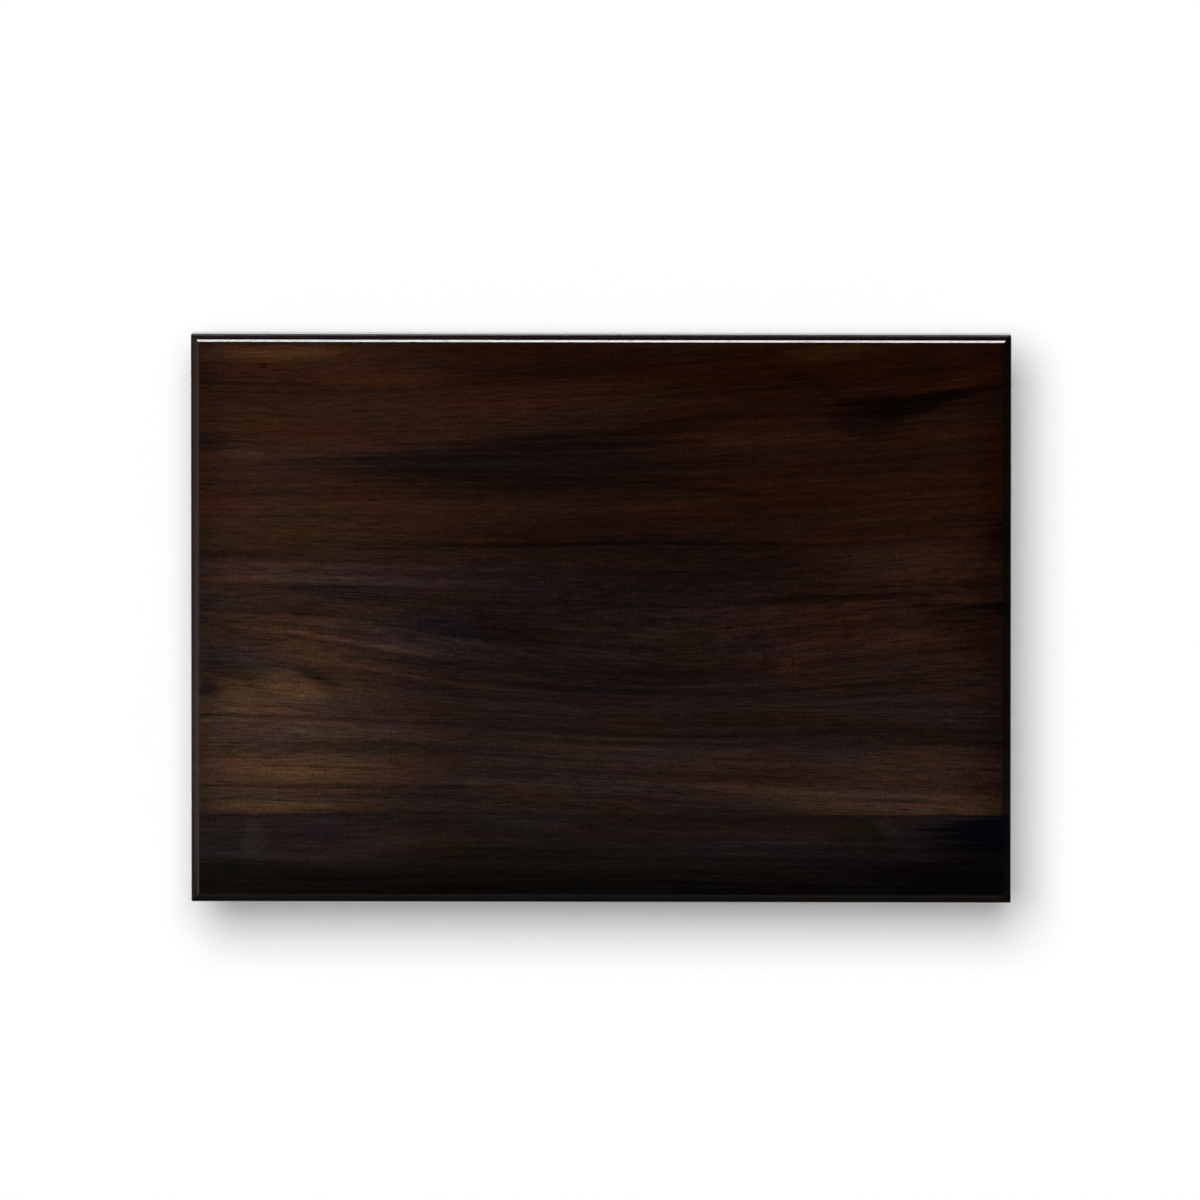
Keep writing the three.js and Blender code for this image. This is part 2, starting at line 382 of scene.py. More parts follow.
class LacquerSkin(EffectGroup):
    """The surface of brushed lacquer: long flow marks, a faint ripple and pores that sink in."""

    name = "lacquer_skin"
    inputs = (("Vector", VECTOR, None), ("Pores", FLOAT, 0.0), ("Roughness", FLOAT, 0.2))
    outputs = (("Roughness", FLOAT), ("Height", FLOAT))

    FLOW = ((6.0, 90.0, 90.0), 3.0, 0.6)
    RIPPLE = (140.0, 2.0, 0.5)
    ROUGHNESS_RANGE = (0.7, 1.3)
    PORE_DEPTH = -0.1
    RIPPLE_HEIGHT = 0.25

    @classmethod
    def make(cls, bench: NodeBench, given: Outputs) -> dict[str, Socket]:
        """Builds the roughness and the height of the lacquer."""
        flow = bench.grain(given["Vector"], *cls.FLOW)
        ripple = bench.noise(given["Vector"], *cls.RIPPLE)
        roughness = bench.math("MULTIPLY", given["Roughness"], bench.span(flow, *cls.ROUGHNESS_RANGE))
        dips = bench.math("MULTIPLY", given["Pores"], cls.PORE_DEPTH)
        height = bench.math("MULTIPLY_ADD", ripple, cls.RIPPLE_HEIGHT, dips)
        return {"Roughness": roughness, "Height": height}


class BoardFlow(EffectGroup):
    """Straightens the grain of a board, whose lines fan out to the right and sag into a valley."""

    name = "board_flow"
    inputs = (
        ("Vector", VECTOR, None),
        ("Fan", FLOAT, 0.0),
        ("Fan Start", FLOAT, 0.0),
        ("Valley Centre", VECTOR, None),
        ("Valley Length", FLOAT, 0.13),
        ("Valley Height", FLOAT, 0.055),
        ("Valley Sag", FLOAT, 0.0),
    )
    outputs = (("Vector", VECTOR),)

    # The scale along each axis of a slow and a quick wander, and how far each one goes in all.
    WANDERS = (((4.0, 14.0, 14.0), 0.010), ((11.0, 45.0, 45.0), 0.0012))
    DETAIL = 2.0
    ROUGHNESS = 0.5

    @classmethod
    def make(cls, bench: NodeBench, given: Outputs) -> dict[str, Socket]:
        """Builds the bent coordinates."""
        along, across, up = bench.separate(given["Vector"])
        run = bench.math("SUBTRACT", along, given["Fan Start"])
        spread = bench.math("MULTIPLY", bench.math("MULTIPLY", run, run), given["Fan"])
        leaning = bench.math("MULTIPLY", spread, across)
        offset = bench.vector("SUBTRACT", given["Vector"], given["Valley Centre"]).outputs[0]
        x_off, y_off, _ = bench.separate(offset)
        x_share = bench.math("DIVIDE", x_off, given["Valley Length"])
        y_share = bench.math("DIVIDE", y_off, given["Valley Height"])
        distance = bench.math("MULTIPLY_ADD", x_share, x_share, bench.math("MULTIPLY", y_share, y_share))
        bell = bench.math("EXPONENT", bench.math("MULTIPLY", distance, -1.0))
        sag = bench.math("MULTIPLY", bell, given["Valley Sag"])
        drift = bench.math("SUBTRACT", sag, leaning)
        for stretch, size in cls.WANDERS:
            wander = bench.grain(given["Vector"], stretch, cls.DETAIL, cls.ROUGHNESS)
            drift = bench.math("MULTIPLY_ADD", bench.centred(wander), size, drift)
        return {"Vector": bench.combine(along, bench.math("ADD", across, drift), up)}


class MetalGrain(EffectGroup):
    """Faint spangle and handling marks of plated or machined metal."""

    name = "metal_grain"
    inputs = (
        ("Vector", VECTOR, None),
        ("Colour", COLOR, None),
        ("Dull Colour", COLOR, None),
        ("Roughness", FLOAT, 0.3),
    )
    outputs = (("Colour", COLOR), ("Roughness", FLOAT), ("Height", FLOAT))

    SPANGLE = (900.0, 2.0, 0.5)
    SPANGLE_ROUGHNESS = (0.7, 1.1)
    SPANGLE_HEIGHT = 0.5
    CLOUDS = (220.0, 2.0, 0.6)
    CLOUD_RANGE = (0.35, 0.7)
    CLOUD_ROUGHNESS = 0.4
    SCRATCHES = ((300.0, 300.0, 4200.0), 2.0, 0.6)

    @classmethod
    def make(cls, bench: NodeBench, given: Outputs) -> dict[str, Socket]:
        """Builds the metal's clouds and fine turning marks."""
        spangle = bench.noise(given["Vector"], *cls.SPANGLE)
        clouds = bench.smooth(bench.noise(given["Vector"], *cls.CLOUDS), *cls.CLOUD_RANGE)
        scratches = bench.grain(given["Vector"], *cls.SCRATCHES)
        cloudy = bench.math("MULTIPLY", clouds, cls.CLOUD_ROUGHNESS)
        change = bench.math("ADD", bench.span(spangle, *cls.SPANGLE_ROUGHNESS), cloudy)
        spangle_height = bench.math("MULTIPLY", spangle, cls.SPANGLE_HEIGHT)
        return {
            "Colour": bench.tint(clouds, given["Colour"], given["Dull Colour"]),
            "Roughness": bench.math("MULTIPLY", given["Roughness"], change),
            "Height": bench.math("ADD", scratches, spangle_height),
        }


# ---------------------------------------------------------------------------
# Finishes
# ---------------------------------------------------------------------------


@dataclass(frozen=True)
class Mark:
    """One mark on a board, for its figure and for painted light and shade, in millimetres from the middle of
    the top.

    Its length lies along the grain where it is, and its tilt, in degrees, is from there.
    """

    x: float
    y: float
    half_length: float
    half_width: float
    tint: Colour
    strength: float
    tilt: float = 0.0
    taper: float = 0.0
    softness: float = 0.5
    fray: float = 1.0


soft = partial(Mark, softness=0.8)
streak = partial(Mark, fray=2.0)

# Painted light: brightens and cools the wood where light and sheen fall from the left.
PAINTED_LIGHT = (2.3, 2.7, 3.4)
SAND = (3.6, 3.35, 2.45)
TAN = (1.6, 1.55, 1.4)
HONEY = (1.6, 1.45, 1.15)
RUST = (1.35, 1.05, 0.9)
STRAW = (1.6, 2.1, 1.7)
PLUM = (1.5, 1.46, 1.55)
SMOKE = (0.33, 0.48, 0.75)
ASH = (0.6, 0.65, 0.75)
INK = (0.25, 0.34, 0.5)
EMBER = (0.72, 0.55, 0.3)
UMBER = (0.6, 0.5, 0.42)
PALE = (1.35, 1.38, 1.38)
KNOT = (0.55, 0.2, 0.15)
NAVY = (0.12, 0.27, 0.52)
DUSK = (0.76, 0.79, 0.84)
OLIVE = (0.75, 0.95, 0.7)
MURK = (0.32, 0.3, 0.45)
# Painted shade for the front edge of the top.
PAINTED_SHADE = (0.26, 0.33, 0.31)
AMBER = (1.02, 0.9, 0.68)
SKY = (0.9, 1.15, 1.45)
COCOA = (0.82, 0.7, 0.6)
MIST = (0.9, 1.15, 1.35)
PEARL = (1.15, 1.25, 1.35)
LILAC = (1.0, 1.08, 1.35)
FROST = (1.1, 1.25, 1.45)
DEW = (1.05, 1.25, 1.3)
ROSE = (1.25, 1.2, 1.2)
WHEAT = (1.3, 1.25, 1.0)
PEACH = (1.3, 1.15, 1.0)
MOSS = (0.75, 0.78, 0.7)
BRONZE = (0.9, 0.75, 0.55)
SILVER = (1.15, 1.28, 1.3)
CLAY = (0.95, 0.78, 0.68)
LOAM = (0.92, 0.86, 0.75)
SLATE = (0.8, 0.9, 0.9)
HAZE = (0.95, 1.1, 1.35)
RAIN = (0.75, 0.88, 0.95)
TEAL = (1.0, 1.2, 1.2)
CREAM = (1.25, 1.2, 1.1)
GRAPE = (0.58, 0.55, 0.75)
GLEAM = (1.8, 2.3, 2.6)
ICE = (1.0, 1.3, 1.4)
MAUVE = (0.85, 0.75, 0.75)
FLINT = (0.72, 0.82, 0.85)
LEAD = (0.7, 0.78, 0.78)
WINE = (0.8, 0.72, 0.75)

MAIN_MARKS = (
    # A broad painted light from the left (a lighter, bluish wash), ember red at the back right and painted
    # shade along the two ends.
    Mark(-228, 85, 200, 75, PAINTED_LIGHT, 0.8, softness=0.9, fray=0.5),
    # Painted light: the broad wash from the left goes on into the front left corner.
    Mark(-225, -62, 110, 48, SAND, 0.85),
    Mark(130, 142, 120, 15, EMBER, 1, softness=0.7),
    Mark(60, -92, 180, 20, PALE, 0.9, softness=0.6),
    soft(-15, -73, 130, 8, PALE, 0.8),
    soft(-145, -92, 70, 12, PALE, 0.6),
    Mark(-25, 146, 75, 13, UMBER, 0.8, softness=0.6),
    soft(-35, 34, 130, 42, DUSK, 1, fray=0.2),
    # Painted shade: the wood darkens towards both ends of the top.
    Mark(236, 20, 24, 400, UMBER, 1, softness=0.7, fray=0.3),
    Mark(-236, 0, 22, 400, ASH, 0.9, softness=0.7, fray=0.3),
    soft(-165, 46, 80, 12, STRAW, 0.5),
    soft(-175, 24, 55, 6, TAN, 0.5),
    soft(-190, 4, 60, 15, AMBER, 1),
    soft(-25, 37, 60, 5, SKY, 0.8, fray=0.3),
    soft(-85, 81, 40, 5, STRAW, 0.5),
    Mark(-112, -18, 20, 3.5, HONEY, 0.9, softness=0.7),
    soft(205, 8, 30, 14, COCOA, 0.9),
    Mark(-120, -101.5, 60, 4, MIST, 0.9, softness=0.7),
    soft(30, 79, 40, 5, PEARL, 0.9),
    soft(70, 8, 35, 7, HONEY, 0.45),
    soft(-95, -60, 30, 7, LILAC, 0.9),
    Mark(150, 149, 30, 4.5, FROST, 0.9, softness=0.7),
    soft(-214, 148, 14, 5, DEW, 0.9),
    Mark(45, 150, 45, 4.5, ROSE, 0.9, softness=0.7),
    soft(214, 136, 14, 6, WHEAT, 0.9),
    soft(-56, 80, 13, 5, PEACH, 0.9),
    soft(164, 121.5, 26, 6, MOSS, 0.9),
    soft(182, 136, 22, 5, BRONZE, 0.9),
    soft(-195, 108, 38, 7, SILVER, 0.9),
    soft(-52, 9, 45, 8, CLAY, 0.9, fray=0.4),
    soft(-52, -4, 42, 6, LOAM, 0.9, fray=0.4),
    soft(-192, -33, 42, 7, SLATE, 0.9),
    soft(-70, -74, 26, 6, HAZE, 0.9),
    soft(-124, -73, 22, 7, RAIN, 0.9),
    soft(-180, -102, 40, 5, TEAL, 0.9),
    soft(116, -18, 16, 5, CREAM, 0.9),
    # A smoky lens above the middle, widening to the right.
    Mark(-53, 90, 109, 13.5, SMOKE, 0.8, taper=0.45, softness=0.45),
    Mark(-10, 101, 55, 7, SMOKE, 0.5, tilt=1),
    Mark(-50, 74, 92, 9, ASH, 0.95, tilt=-1, softness=0.6),
    Mark(-95, 82, 55, 9, SMOKE, 0.6, taper=0.2),
    Mark(44, 110, 32, 4.5, SMOKE, 0.45, tilt=3),
    Mark(59, 73.5, 35, 1.8, SMOKE, 0.5, tilt=-7),
    # An inky wedge that runs out at the back right corner.
    Mark(150, 114.5, 21, 12, GRAPE, 0.95, taper=-0.1, softness=0.35),
    Mark(150, 119, 22, 6, UMBER, 0.5, tilt=3, softness=0.7),
    Mark(176, 122, 24, 4.2, INK, 0.75, tilt=6, taper=-0.2, fray=1.2),
    Mark(202, 127.5, 28, 2.8, INK, 0.8, tilt=5, taper=-0.3, fray=1.2),
    Mark(165, 103, 22, 1.2, INK, 0.5),
    Mark(112, 136, 12, 2.4, INK, 0.5, tilt=-3),
    Mark(126, 128, 9, 3, SMOKE, 0.5, tilt=-30),
    # Thin dark streaks across the back.
    streak(-12, 42.5, 106, 1.8, INK, 0.75),
    Mark(18, 47, 85, 7, ASH, 0.75, softness=0.7, fray=0.4),
    Mark(-132, 38.5, 44, 1.2, INK, 0.35),
    Mark(80, 43.5, 38, 1.2, INK, 0.4),
    streak(127, 11.5, 47, 1.4, INK, 0.7),
    Mark(209, 6, 24, 1.2, INK, 0.7, tilt=3),
    Mark(0, 144, 74, 1.5, INK, 0.35, fray=3),
    streak(-185, 131.5, 38, 1.5, INK, 0.4),
    Mark(-219, 135, 4.5, 6, ASH, 0.8),
    Mark(-217, 99.5, 12, 5.5, ASH, 0.8, softness=0.6),
    Mark(-200, 34.5, 35, 1.5, INK, 0.35),
    # Smoke in the middle, down to the valley line.
    soft(48, 21, 85, 11, ASH, 0.7, fray=0.3),
    Mark(-85, -2, 50, 9, ASH, 0.7, tilt=-2, softness=0.6, fray=0.3),
    Mark(-139, 10.5, 29, 3.5, ASH, 0.7, fray=2.5),
    Mark(-153, 15.5, 26, 1.5, INK, 0.4),
    streak(21, -42, 191, 2.4, ASH, 0.7),
    soft(6, -34.5, 65, 8, ASH, 0.7, fray=0.3),
    # The dark curl and edge shadows at the left.
    Mark(-220, -39.5, 6, 5.5, INK, 0.7),
    soft(-207, -17, 26, 11, ASH, 0.8),
    Mark(-212, -31, 26, 6, ASH, 0.9, softness=0.6),
    Mark(-158, -33.5, 12, 3, ASH, 1, tilt=-20),
    Mark(-122, -52, 45, 9, ASH, 0.5, softness=0.7),
    # Dark lines below the valley and dark spots at the right edge.
    streak(-111, -73, 71, 4, ASH, 0.8),
    streak(-160, -82.5, 50, 0.8, INK, 0.5, tilt=-2),
    streak(-140, -93.5, 90, 1.4, ASH, 1),
    streak(-105, -99, 50, 1.4, ASH, 0.8),
    streak(-165, -55.5, 60, 1.6, ASH, 0.8),
    Mark(85, -86.5, 50, 2.5, ASH, 0.4),
    soft(224, 45, 12, 7, INK, 0.7, fray=2),
    Mark(223, 5.5, 4.5, 3.5, INK, 0.6),
    # Bright streaks along the back.
    streak(-178, 149, 46, 4.5, HONEY, 1),
    Mark(-178, 150, 30, 3, TAN, 0.6),
    Mark(126, 149.5, 24, 4, GLEAM, 0.9, softness=0.7),
    soft(-195, 148, 40, 5, ICE, 0.9),
    Mark(-120, 135, 35, 3, HONEY, 0.7, fray=3),
    streak(-204, 91.5, 20, 2.5, TAN, 0.6),
    Mark(172, 35.5, 44, 3.4, HONEY, 1, fray=2.5),
    Mark(190, 66, 40, 5, HONEY, 0.7, softness=0.7, fray=2),
    Mark(179, 26, 38, 6, HONEY, 0.5, softness=0.7),
    # Bright lines at the left and the fan below them.
    streak(-150, 28.5, 85, 1.6, TAN, 0.9),
    streak(-150, 20.5, 85, 2.2, TAN, 1),
    soft(-150, -12, 75, 13, TAN, 0.8, tilt=-3, fray=1.5),
    streak(-142, -3.5, 82, 1.8, TAN, 0.9, tilt=-2),
    streak(-142, -13, 52, 1.6, TAN, 1, tilt=-4),
    streak(-126, -17.5, 55, 1.2, ASH, 0.8, tilt=-4),
    streak(-122, -30, 56, 1.6, TAN, 0.9, tilt=-4),
    Mark(-95, -26, 32, 4, ASH, 0.8, tilt=-3, softness=0.6),
    Mark(-125, 3, 22, 4, TAN, 0.7, softness=0.7),
    Mark(-173, -37.5, 18, 6, TAN, 1, tilt=-16, fray=2.5),
    Mark(-191, -50.5, 41, 8, TAN, 0.5, softness=0.6, fray=2),
    Mark(-176, -81.5, 53, 6.5, TAN, 0.7, softness=0.6, fray=2),
    Mark(-190, -105, 34, 3.6, TAN, 1, softness=0.6, fray=1.5),
    Mark(-130, -104.5, 75, 3, TAN, 0.7, softness=0.6, fray=1.5),
    # Bright lines through the lower middle.
    streak(-3, -66, 68, 0.9, TAN, 1),
    streak(35, -72.5, 88, 1.1, TAN, 1),
    streak(35, -91, 53, 1.8, TAN, 0.9),
    streak(-53, -40.5, 32, 0.9, TAN, 0.9),
    Mark(130, -39, 10, 0.9, TAN, 0.9),
    # Warm light at the right.
    Mark(165, -100, 80, 8, SAND, 0.45, softness=0.6, fray=2),
    Mark(182, -80, 47, 8, TAN, 0.9, softness=0.7, fray=1.5),
    Mark(168, -12.5, 25, 4, HONEY, 0.8, softness=0.6, fray=2.5),
    Mark(125, 1, 42, 7, RUST, 0.7, softness=0.6, fray=2),
    soft(155, -14, 60, 22, RUST, 0.9, fray=0.6),
    # Pin knots.
    Mark(-188, 142.5, 2, 1.8, KNOT, 0.8),
    Mark(95, 149, 2.5, 1.8, KNOT, 0.8),
    Mark(-135, 88.5, 2.5, 0.9, KNOT, 0.6),
    Mark(107, -25, 7, 3.5, HONEY, 0.7, softness=0.7),
    Mark(107, -25, 1, 1.2, KNOT, 0.6),
)

FRONT_MARKS = (
    # A plum tongue that narrows to the right, with a pale eye and a dark spot.
    Mark(-170, -126, 91, 16, PLUM, 0.9, taper=-0.8, softness=0.25),
    Mark(-194, -124.5, 6, 8.5, STRAW, 0.6, softness=0.7),
    Mark(-152, -124.5, 5.5, 4, ASH, 0.7),
    Mark(-197, -141, 42, 4.5, OLIVE, 0.9, softness=0.7),
    Mark(-140, -113, 80, 3.5, PLUM, 0.5, softness=0.7),
    # The olive middle under a pinkish arc.
    Mark(-15, -132, 95, 19, OLIVE, 0.6, softness=0.7),
    Mark(-36, -115.5, 34, 3, PLUM, 0.6, tilt=-9),
    soft(90, -122, 42, 12, PLUM, 0.4),
    Mark(168, -122, 18, 4, PLUM, 0.6, tilt=-38, softness=0.6),
    Mark(146, -118, 14, 6, OLIVE, 0.6, softness=0.7),
    # Painted shade darkening the front edge, and the navy right end.
    Mark(0, -165, 600, 24, PAINTED_SHADE, 1, softness=0.7, fray=0.6),
    Mark(228, -117, 46, 13, NAVY, 1, taper=0.7, fray=1.6),
    soft(210, -139, 55, 15, MURK, 1),
    soft(170, -146, 100, 10, ASH, 0.9),
    soft(212, -127, 26, 6, NAVY, 0.6),
    soft(-125, -139, 25, 4, TAN, 0.5),
    soft(-185, -128, 40, 5, MAUVE, 0.9),
    soft(-214, -139, 16, 6, FLINT, 0.9),
    soft(-182, -149.5, 26, 4, DEW, 0.9),
    Mark(208, -143, 30, 7, LEAD, 0.9, softness=0.6),
    soft(210, -116, 22, 5, WINE, 0.9),
)


@dataclass(frozen=True)
class Figure:
    """How the grain of one board flows and what marks it carries. Lengths are in millimetres."""

    near: Colour
    far: Colour
    marks: tuple[Mark, ...]
    turn: Pair = (5.0, 50.0)
    fan: float = 0.75e-6
    fan_start: float = -230.0
    valley: Pair = (24.0, -30.0)
    valley_length: float = 160.0
    valley_height: float = 32.0
    valley_sag: float = 21.0
    band_contrast: float = 1.1
    thread_contrast: float = 2.0
    hair_contrast: float = 2.1
    fleck_contrast: float = 1.1
    far_calm: float = 0.15

    def height_in_grain(self, x: float, y: float) -> float:
        """Follows the grain from a place on the board to its height in the straightened grain.

        Args:
            x: The place along the board.
            y: The place across the board.

        Returns:
            The height across the straightened grain.
        """
        x_share = (x - self.valley[0]) / self.valley_length
        y_share = (y - self.valley[1]) / self.valley_height
        sag = self.valley_sag * math.exp(-x_share * x_share - y_share * y_share)
        return y + sag - self.fan * (x - self.fan_start) ** 2 * y


MAIN_FIGURE = Figure(near=(0.0133, 0.007, 0.0053), far=(0.0145, 0.0045, 0.0018), marks=MAIN_MARKS)

FRONT_FIGURE = Figure(
    near=(0.0103, 0.0062, 0.0052),
    far=(0.0103, 0.0062, 0.0052),
    marks=FRONT_MARKS,
    fan=0.0,
    valley=(-160.0, -130.0),
    valley_length=60.0,
    valley_height=20.0,
    valley_sag=4.0,
    thread_contrast=1.6,
    hair_contrast=1.4,
)


def new_material(name: str) -> tuple[Material, NodeBench, bpy.types.Node]:
    """Makes an empty node material.

    Args:
        name: The material's name.

    Returns:
        The material, a bench on its tree and its Principled shader.
    """
    material = bpy.data.materials.new(name)
    material.use_nodes = True
    material.node_tree.nodes.clear()
    bench = NodeBench(material.node_tree)
    shader = bench.add("ShaderNodeBsdfPrincipled")
    bench.add("ShaderNodeOutputMaterial", {"Surface": shader.outputs[0]})
    return material, bench, shader


@dataclass(frozen=True, kw_only=True)
class Finish:
    """A finish that makes one material, from a surface that each kind of finish builds."""

    name: str
    bump: float
    bump_distance: float = 0.0002
    specular_level: float = 0.5
    metallic: float = 0.0
    sheen: float = 0.0

    def material(self) -> Material:
        """Builds the material."""
        material, bench, shader = new_material(self.name)
        where = bench.add("ShaderNodeTexCoord").outputs["Object"]
        colour, roughness, height = self.surface(bench, where)
        bench.fill(shader, {
            "Base Color": colour,
            "Roughness": roughness,
            "Normal": bench.relief(self.bump, self.bump_distance, height),
            "Specular IOR Level": self.specular_level,
            "Metallic": self.metallic,
            "Sheen Weight": self.sheen,
        })
        return material

    def surface(self, bench: NodeBench, where: Socket) -> Sockets:
        """Builds what changes over the surface.

        Args:
            bench: The bench on the material's tree.
            where: The place on the piece.

        Returns:
            The colour, the roughness and the height.
        """
        raise NotImplementedError


@dataclass(frozen=True, kw_only=True)
class Lacquer(Finish):
    """Clear lacquer over dark wood with open pores."""

    gloss_roughness: float
    pore_share: float = 0.5
    pore_tint: Colour = (0.4, 0.4, 0.4)

    def lacquered(self, bench: NodeBench, where: Socket, fibre: Outputs, colour: Socket) -> Sockets:
        """Darkens the pores of the wood and lays the lacquer over it.

        Args:
            bench: The bench on the material's tree.
            where: The place in the wood.
            fibre: The grain's values.
            colour: The wood's colour.

        Returns:
            The colour, the roughness and the height.
        """
        pores = bench.math("MULTIPLY", fibre["Pores"], self.pore_share)
        skin = bench.place(LacquerSkin, {
            "Vector": where,
            "Pores": fibre["Pores"],
            "Roughness": self.gloss_roughness,
        })
        return bench.tint(pores, colour, self.pore_tint, "MULTIPLY"), skin["Roughness"], skin["Height"]


@dataclass(frozen=True, kw_only=True)
class LacqueredBoard(Lacquer):
    """Semi-gloss lacquer over a board with a figure of its own."""

    figure: Figure
    half_size: Pair
    rim_width: float
    rim_softness: float = 0.4 * MM
    # Darker, bluer tint of the moulding: stain, with painted crease shade and painted reflection.
    rim_tint: Colour = (0.38, 0.38, 0.5)
    rim_slope: Pair = (0.1, 0.5)
    end_tint: Colour = (0.75, 0.7, 0.65)
    end_slope: Pair = (0.3, 0.9)
    gloss_roughness: float = 0.09
    specular_level: float = 0.34
    bump: float = 0.12

    def surface(self, bench: NodeBench, where: Socket) -> Sockets:
        """Builds the board's figure, its end grain and its darker moulding, with painted shade and
        reflection on the moulding.
        """
        flow = self.flow(bench, where)
        fibre = bench.place(WoodFibre, {"Vector": flow})
        colour = self.marked(bench, flow, fibre, self.ground(bench, flow, fibre))
        facing, _, upward = bench.separate(bench.add("ShaderNodeNewGeometry").outputs["True Normal"])
        ends = bench.smooth(bench.math("ABSOLUTE", facing), *self.end_slope)
        colour = bench.tint(ends, colour, self.end_tint, "MULTIPLY")
        # The moulding's tint is partly stain and partly painted shade and painted reflection.
        rim = bench.math("MULTIPLY", self.rim(bench, where), bench.smooth(upward, *self.rim_slope))
        colour = bench.tint(rim, colour, self.rim_tint, "MULTIPLY")
        return self.lacquered(bench, where, fibre, colour)

    def rim(self, bench: NodeBench, where: Socket) -> Socket:
        """Masks the moulding round the top, which is tinted darker and bluer than the field: partly darker
        stain, partly painted shade in its crease and a painted bluish reflection.

        Args:
            bench: The bench on the material's tree.
            where: The place on the board.

        Returns:
            The mask.
        """
        beyond = [
            bench.math("SUBTRACT", bench.math("ABSOLUTE", offset), half)
            for offset, half in zip(bench.separate(where), self.half_size)
        ]
        inner = -self.rim_width
        return bench.smooth(bench.math("MAXIMUM", *beyond), inner, inner + self.rim_softness)

    def flow(self, bench: NodeBench, where: Socket) -> Socket:
        """Straightens the board's grain.

        Args:
            bench: The bench on the material's tree.
            where: The place on the board.

        Returns:
            The place in the straightened grain.
        """
        figure = self.figure
        return bench.place(BoardFlow, {
            "Vector": where,
            "Fan": figure.fan / MM**2,
            "Fan Start": figure.fan_start * MM,
            "Valley Centre": (figure.valley[0] * MM, figure.valley[1] * MM, 0.0),
            "Valley Length": figure.valley_length * MM,
            "Valley Height": figure.valley_height * MM,
            "Valley Sag": figure.valley_sag * MM,
        })[0]

    def ground(self, bench: NodeBench, flow: Socket, fibre: Outputs) -> Socket:
        """Mixes the board's ground colour from its grain.

        Args:
            bench: The bench on the material's tree.
            flow: The place in the straightened grain.
            fibre: The grain's values.

        Returns:
            The colour before its marks.
        """
        figure = self.figure
        start, end = figure.turn
        turn = bench.smooth(bench.separate(flow)[1], start * MM, end * MM)
        base = bench.tint(turn, figure.near, figure.far)
        calm = bench.span(turn, 1.0, 1.0 - figure.far_calm)
        for label, contrast in (
            ("Bands", figure.band_contrast),
            ("Threads", figure.thread_contrast),
            ("Hairs", figure.hair_contrast),
            ("Flecks", figure.fleck_contrast),
        ):
            depth = bench.math("MULTIPLY", calm, contrast)
            base = bench.shaded(base, bench.math("MULTIPLY_ADD", bench.centred(fibre[label]), depth, 1.0))
        return bench.place(StainDrift, {"Colour": base, "Vector": flow})[0]

    def marked(self, bench: NodeBench, flow: Socket, fibre: Outputs, colour: Socket) -> Socket:
        """Lays the marks over the ground colour: the figure, painted light and painted shade.

        Args:
            bench: The bench on the material's tree.
            flow: The place in the straightened grain.
            fibre: The grain's values.
            colour: The ground colour.

        Returns:
            The colour with every mark on it.
        """
        for mark in self.figure.marks:
            tilt = math.radians(mark.tilt)
            colour = bench.place(FigureMark, {
                "Colour": colour,
                "Tint": mark.tint,
                "Strength": mark.strength,
                "Vector": flow,
                "Threads": fibre["Threads"],
                "Fray": mark.fray,
                "Centre": (mark.x * MM, self.figure.height_in_grain(mark.x, mark.y) * MM, 0.0),
                "Along Axis": (math.cos(tilt), math.sin(tilt), 0.0),
                "Across Axis": (-math.sin(tilt), math.cos(tilt), 0.0),
                "Half Length": mark.half_length * MM,
                "Half Width": mark.half_width * MM,
                "Taper": mark.taper,
                "Softness": mark.softness,
            })[0]
        return colour


@dataclass(frozen=True)
class PlainGrain:
    """The colour of wood without a figure, from dark to light with its threads and bands."""

    dark: Colour
    light: Colour
    band_share: float
    spread: Pair
    thread_share: float = 0.5

    def colour(self, bench: NodeBench, fibre: Outputs) -> Socket:
        """Mixes the colour.

        Args:
            bench: The bench on the material's tree.
            fibre: The grain's values.

        Returns:
            The wood's colour.
        """
        bands = bench.math("MULTIPLY", fibre["Bands"], self.band_share)
        blend = bench.math("MULTIPLY_ADD", fibre["Threads"], self.thread_share, bands)
        return bench.tint(bench.smooth(blend, *self.spread), self.dark, self.light)


@dataclass(frozen=True, kw_only=True)
class LacqueredWood(Lacquer):
    """Satin lacquer over plain dark wood, for battens and turned feet."""

    lie: Grain
    wood: PlainGrain = PlainGrain(
        dark=(0.0095, 0.0048, 0.0033), light=(0.028, 0.014, 0.0092), band_share=0.8, spread=(0.42, 0.9)
    )
    gloss_roughness: float = 0.25
    bump: float = 0.15

    def surface(self, bench: NodeBench, where: Socket) -> Sockets:
        """Builds plain grain that lies the piece's own way."""
        turned = bench.add("ShaderNodeMapping", {"Vector": where, "Rotation": self.lie.value}).outputs[0]
        fibre = bench.place(WoodFibre, {"Vector": turned})
        return self.lacquered(bench, turned, fibre, self.wood.colour(bench, fibre))


@dataclass(frozen=True, kw_only=True)
class BareWood(Finish):
    """Unfinished pale wood of the tongue that joins the boards."""

    name: str = "tongue_wood"
    wood: PlainGrain = PlainGrain(
        dark=(0.20, 0.115, 0.055), light=(0.40, 0.26, 0.145), band_share=0.5, spread=(0.35, 0.65)
    )
    least_roughness: float = 0.7
    bump: float = 0.3

    def surface(self, bench: NodeBench, where: Socket) -> Sockets:
        """Builds plain grain, rougher where its hairs stand up."""
        fibre = bench.place(WoodFibre, {"Vector": where})
        roughness = bench.span(fibre["Hairs"], self.least_roughness, 1.0)
        return self.wood.colour(bench, fibre), roughness, fibre["Threads"]


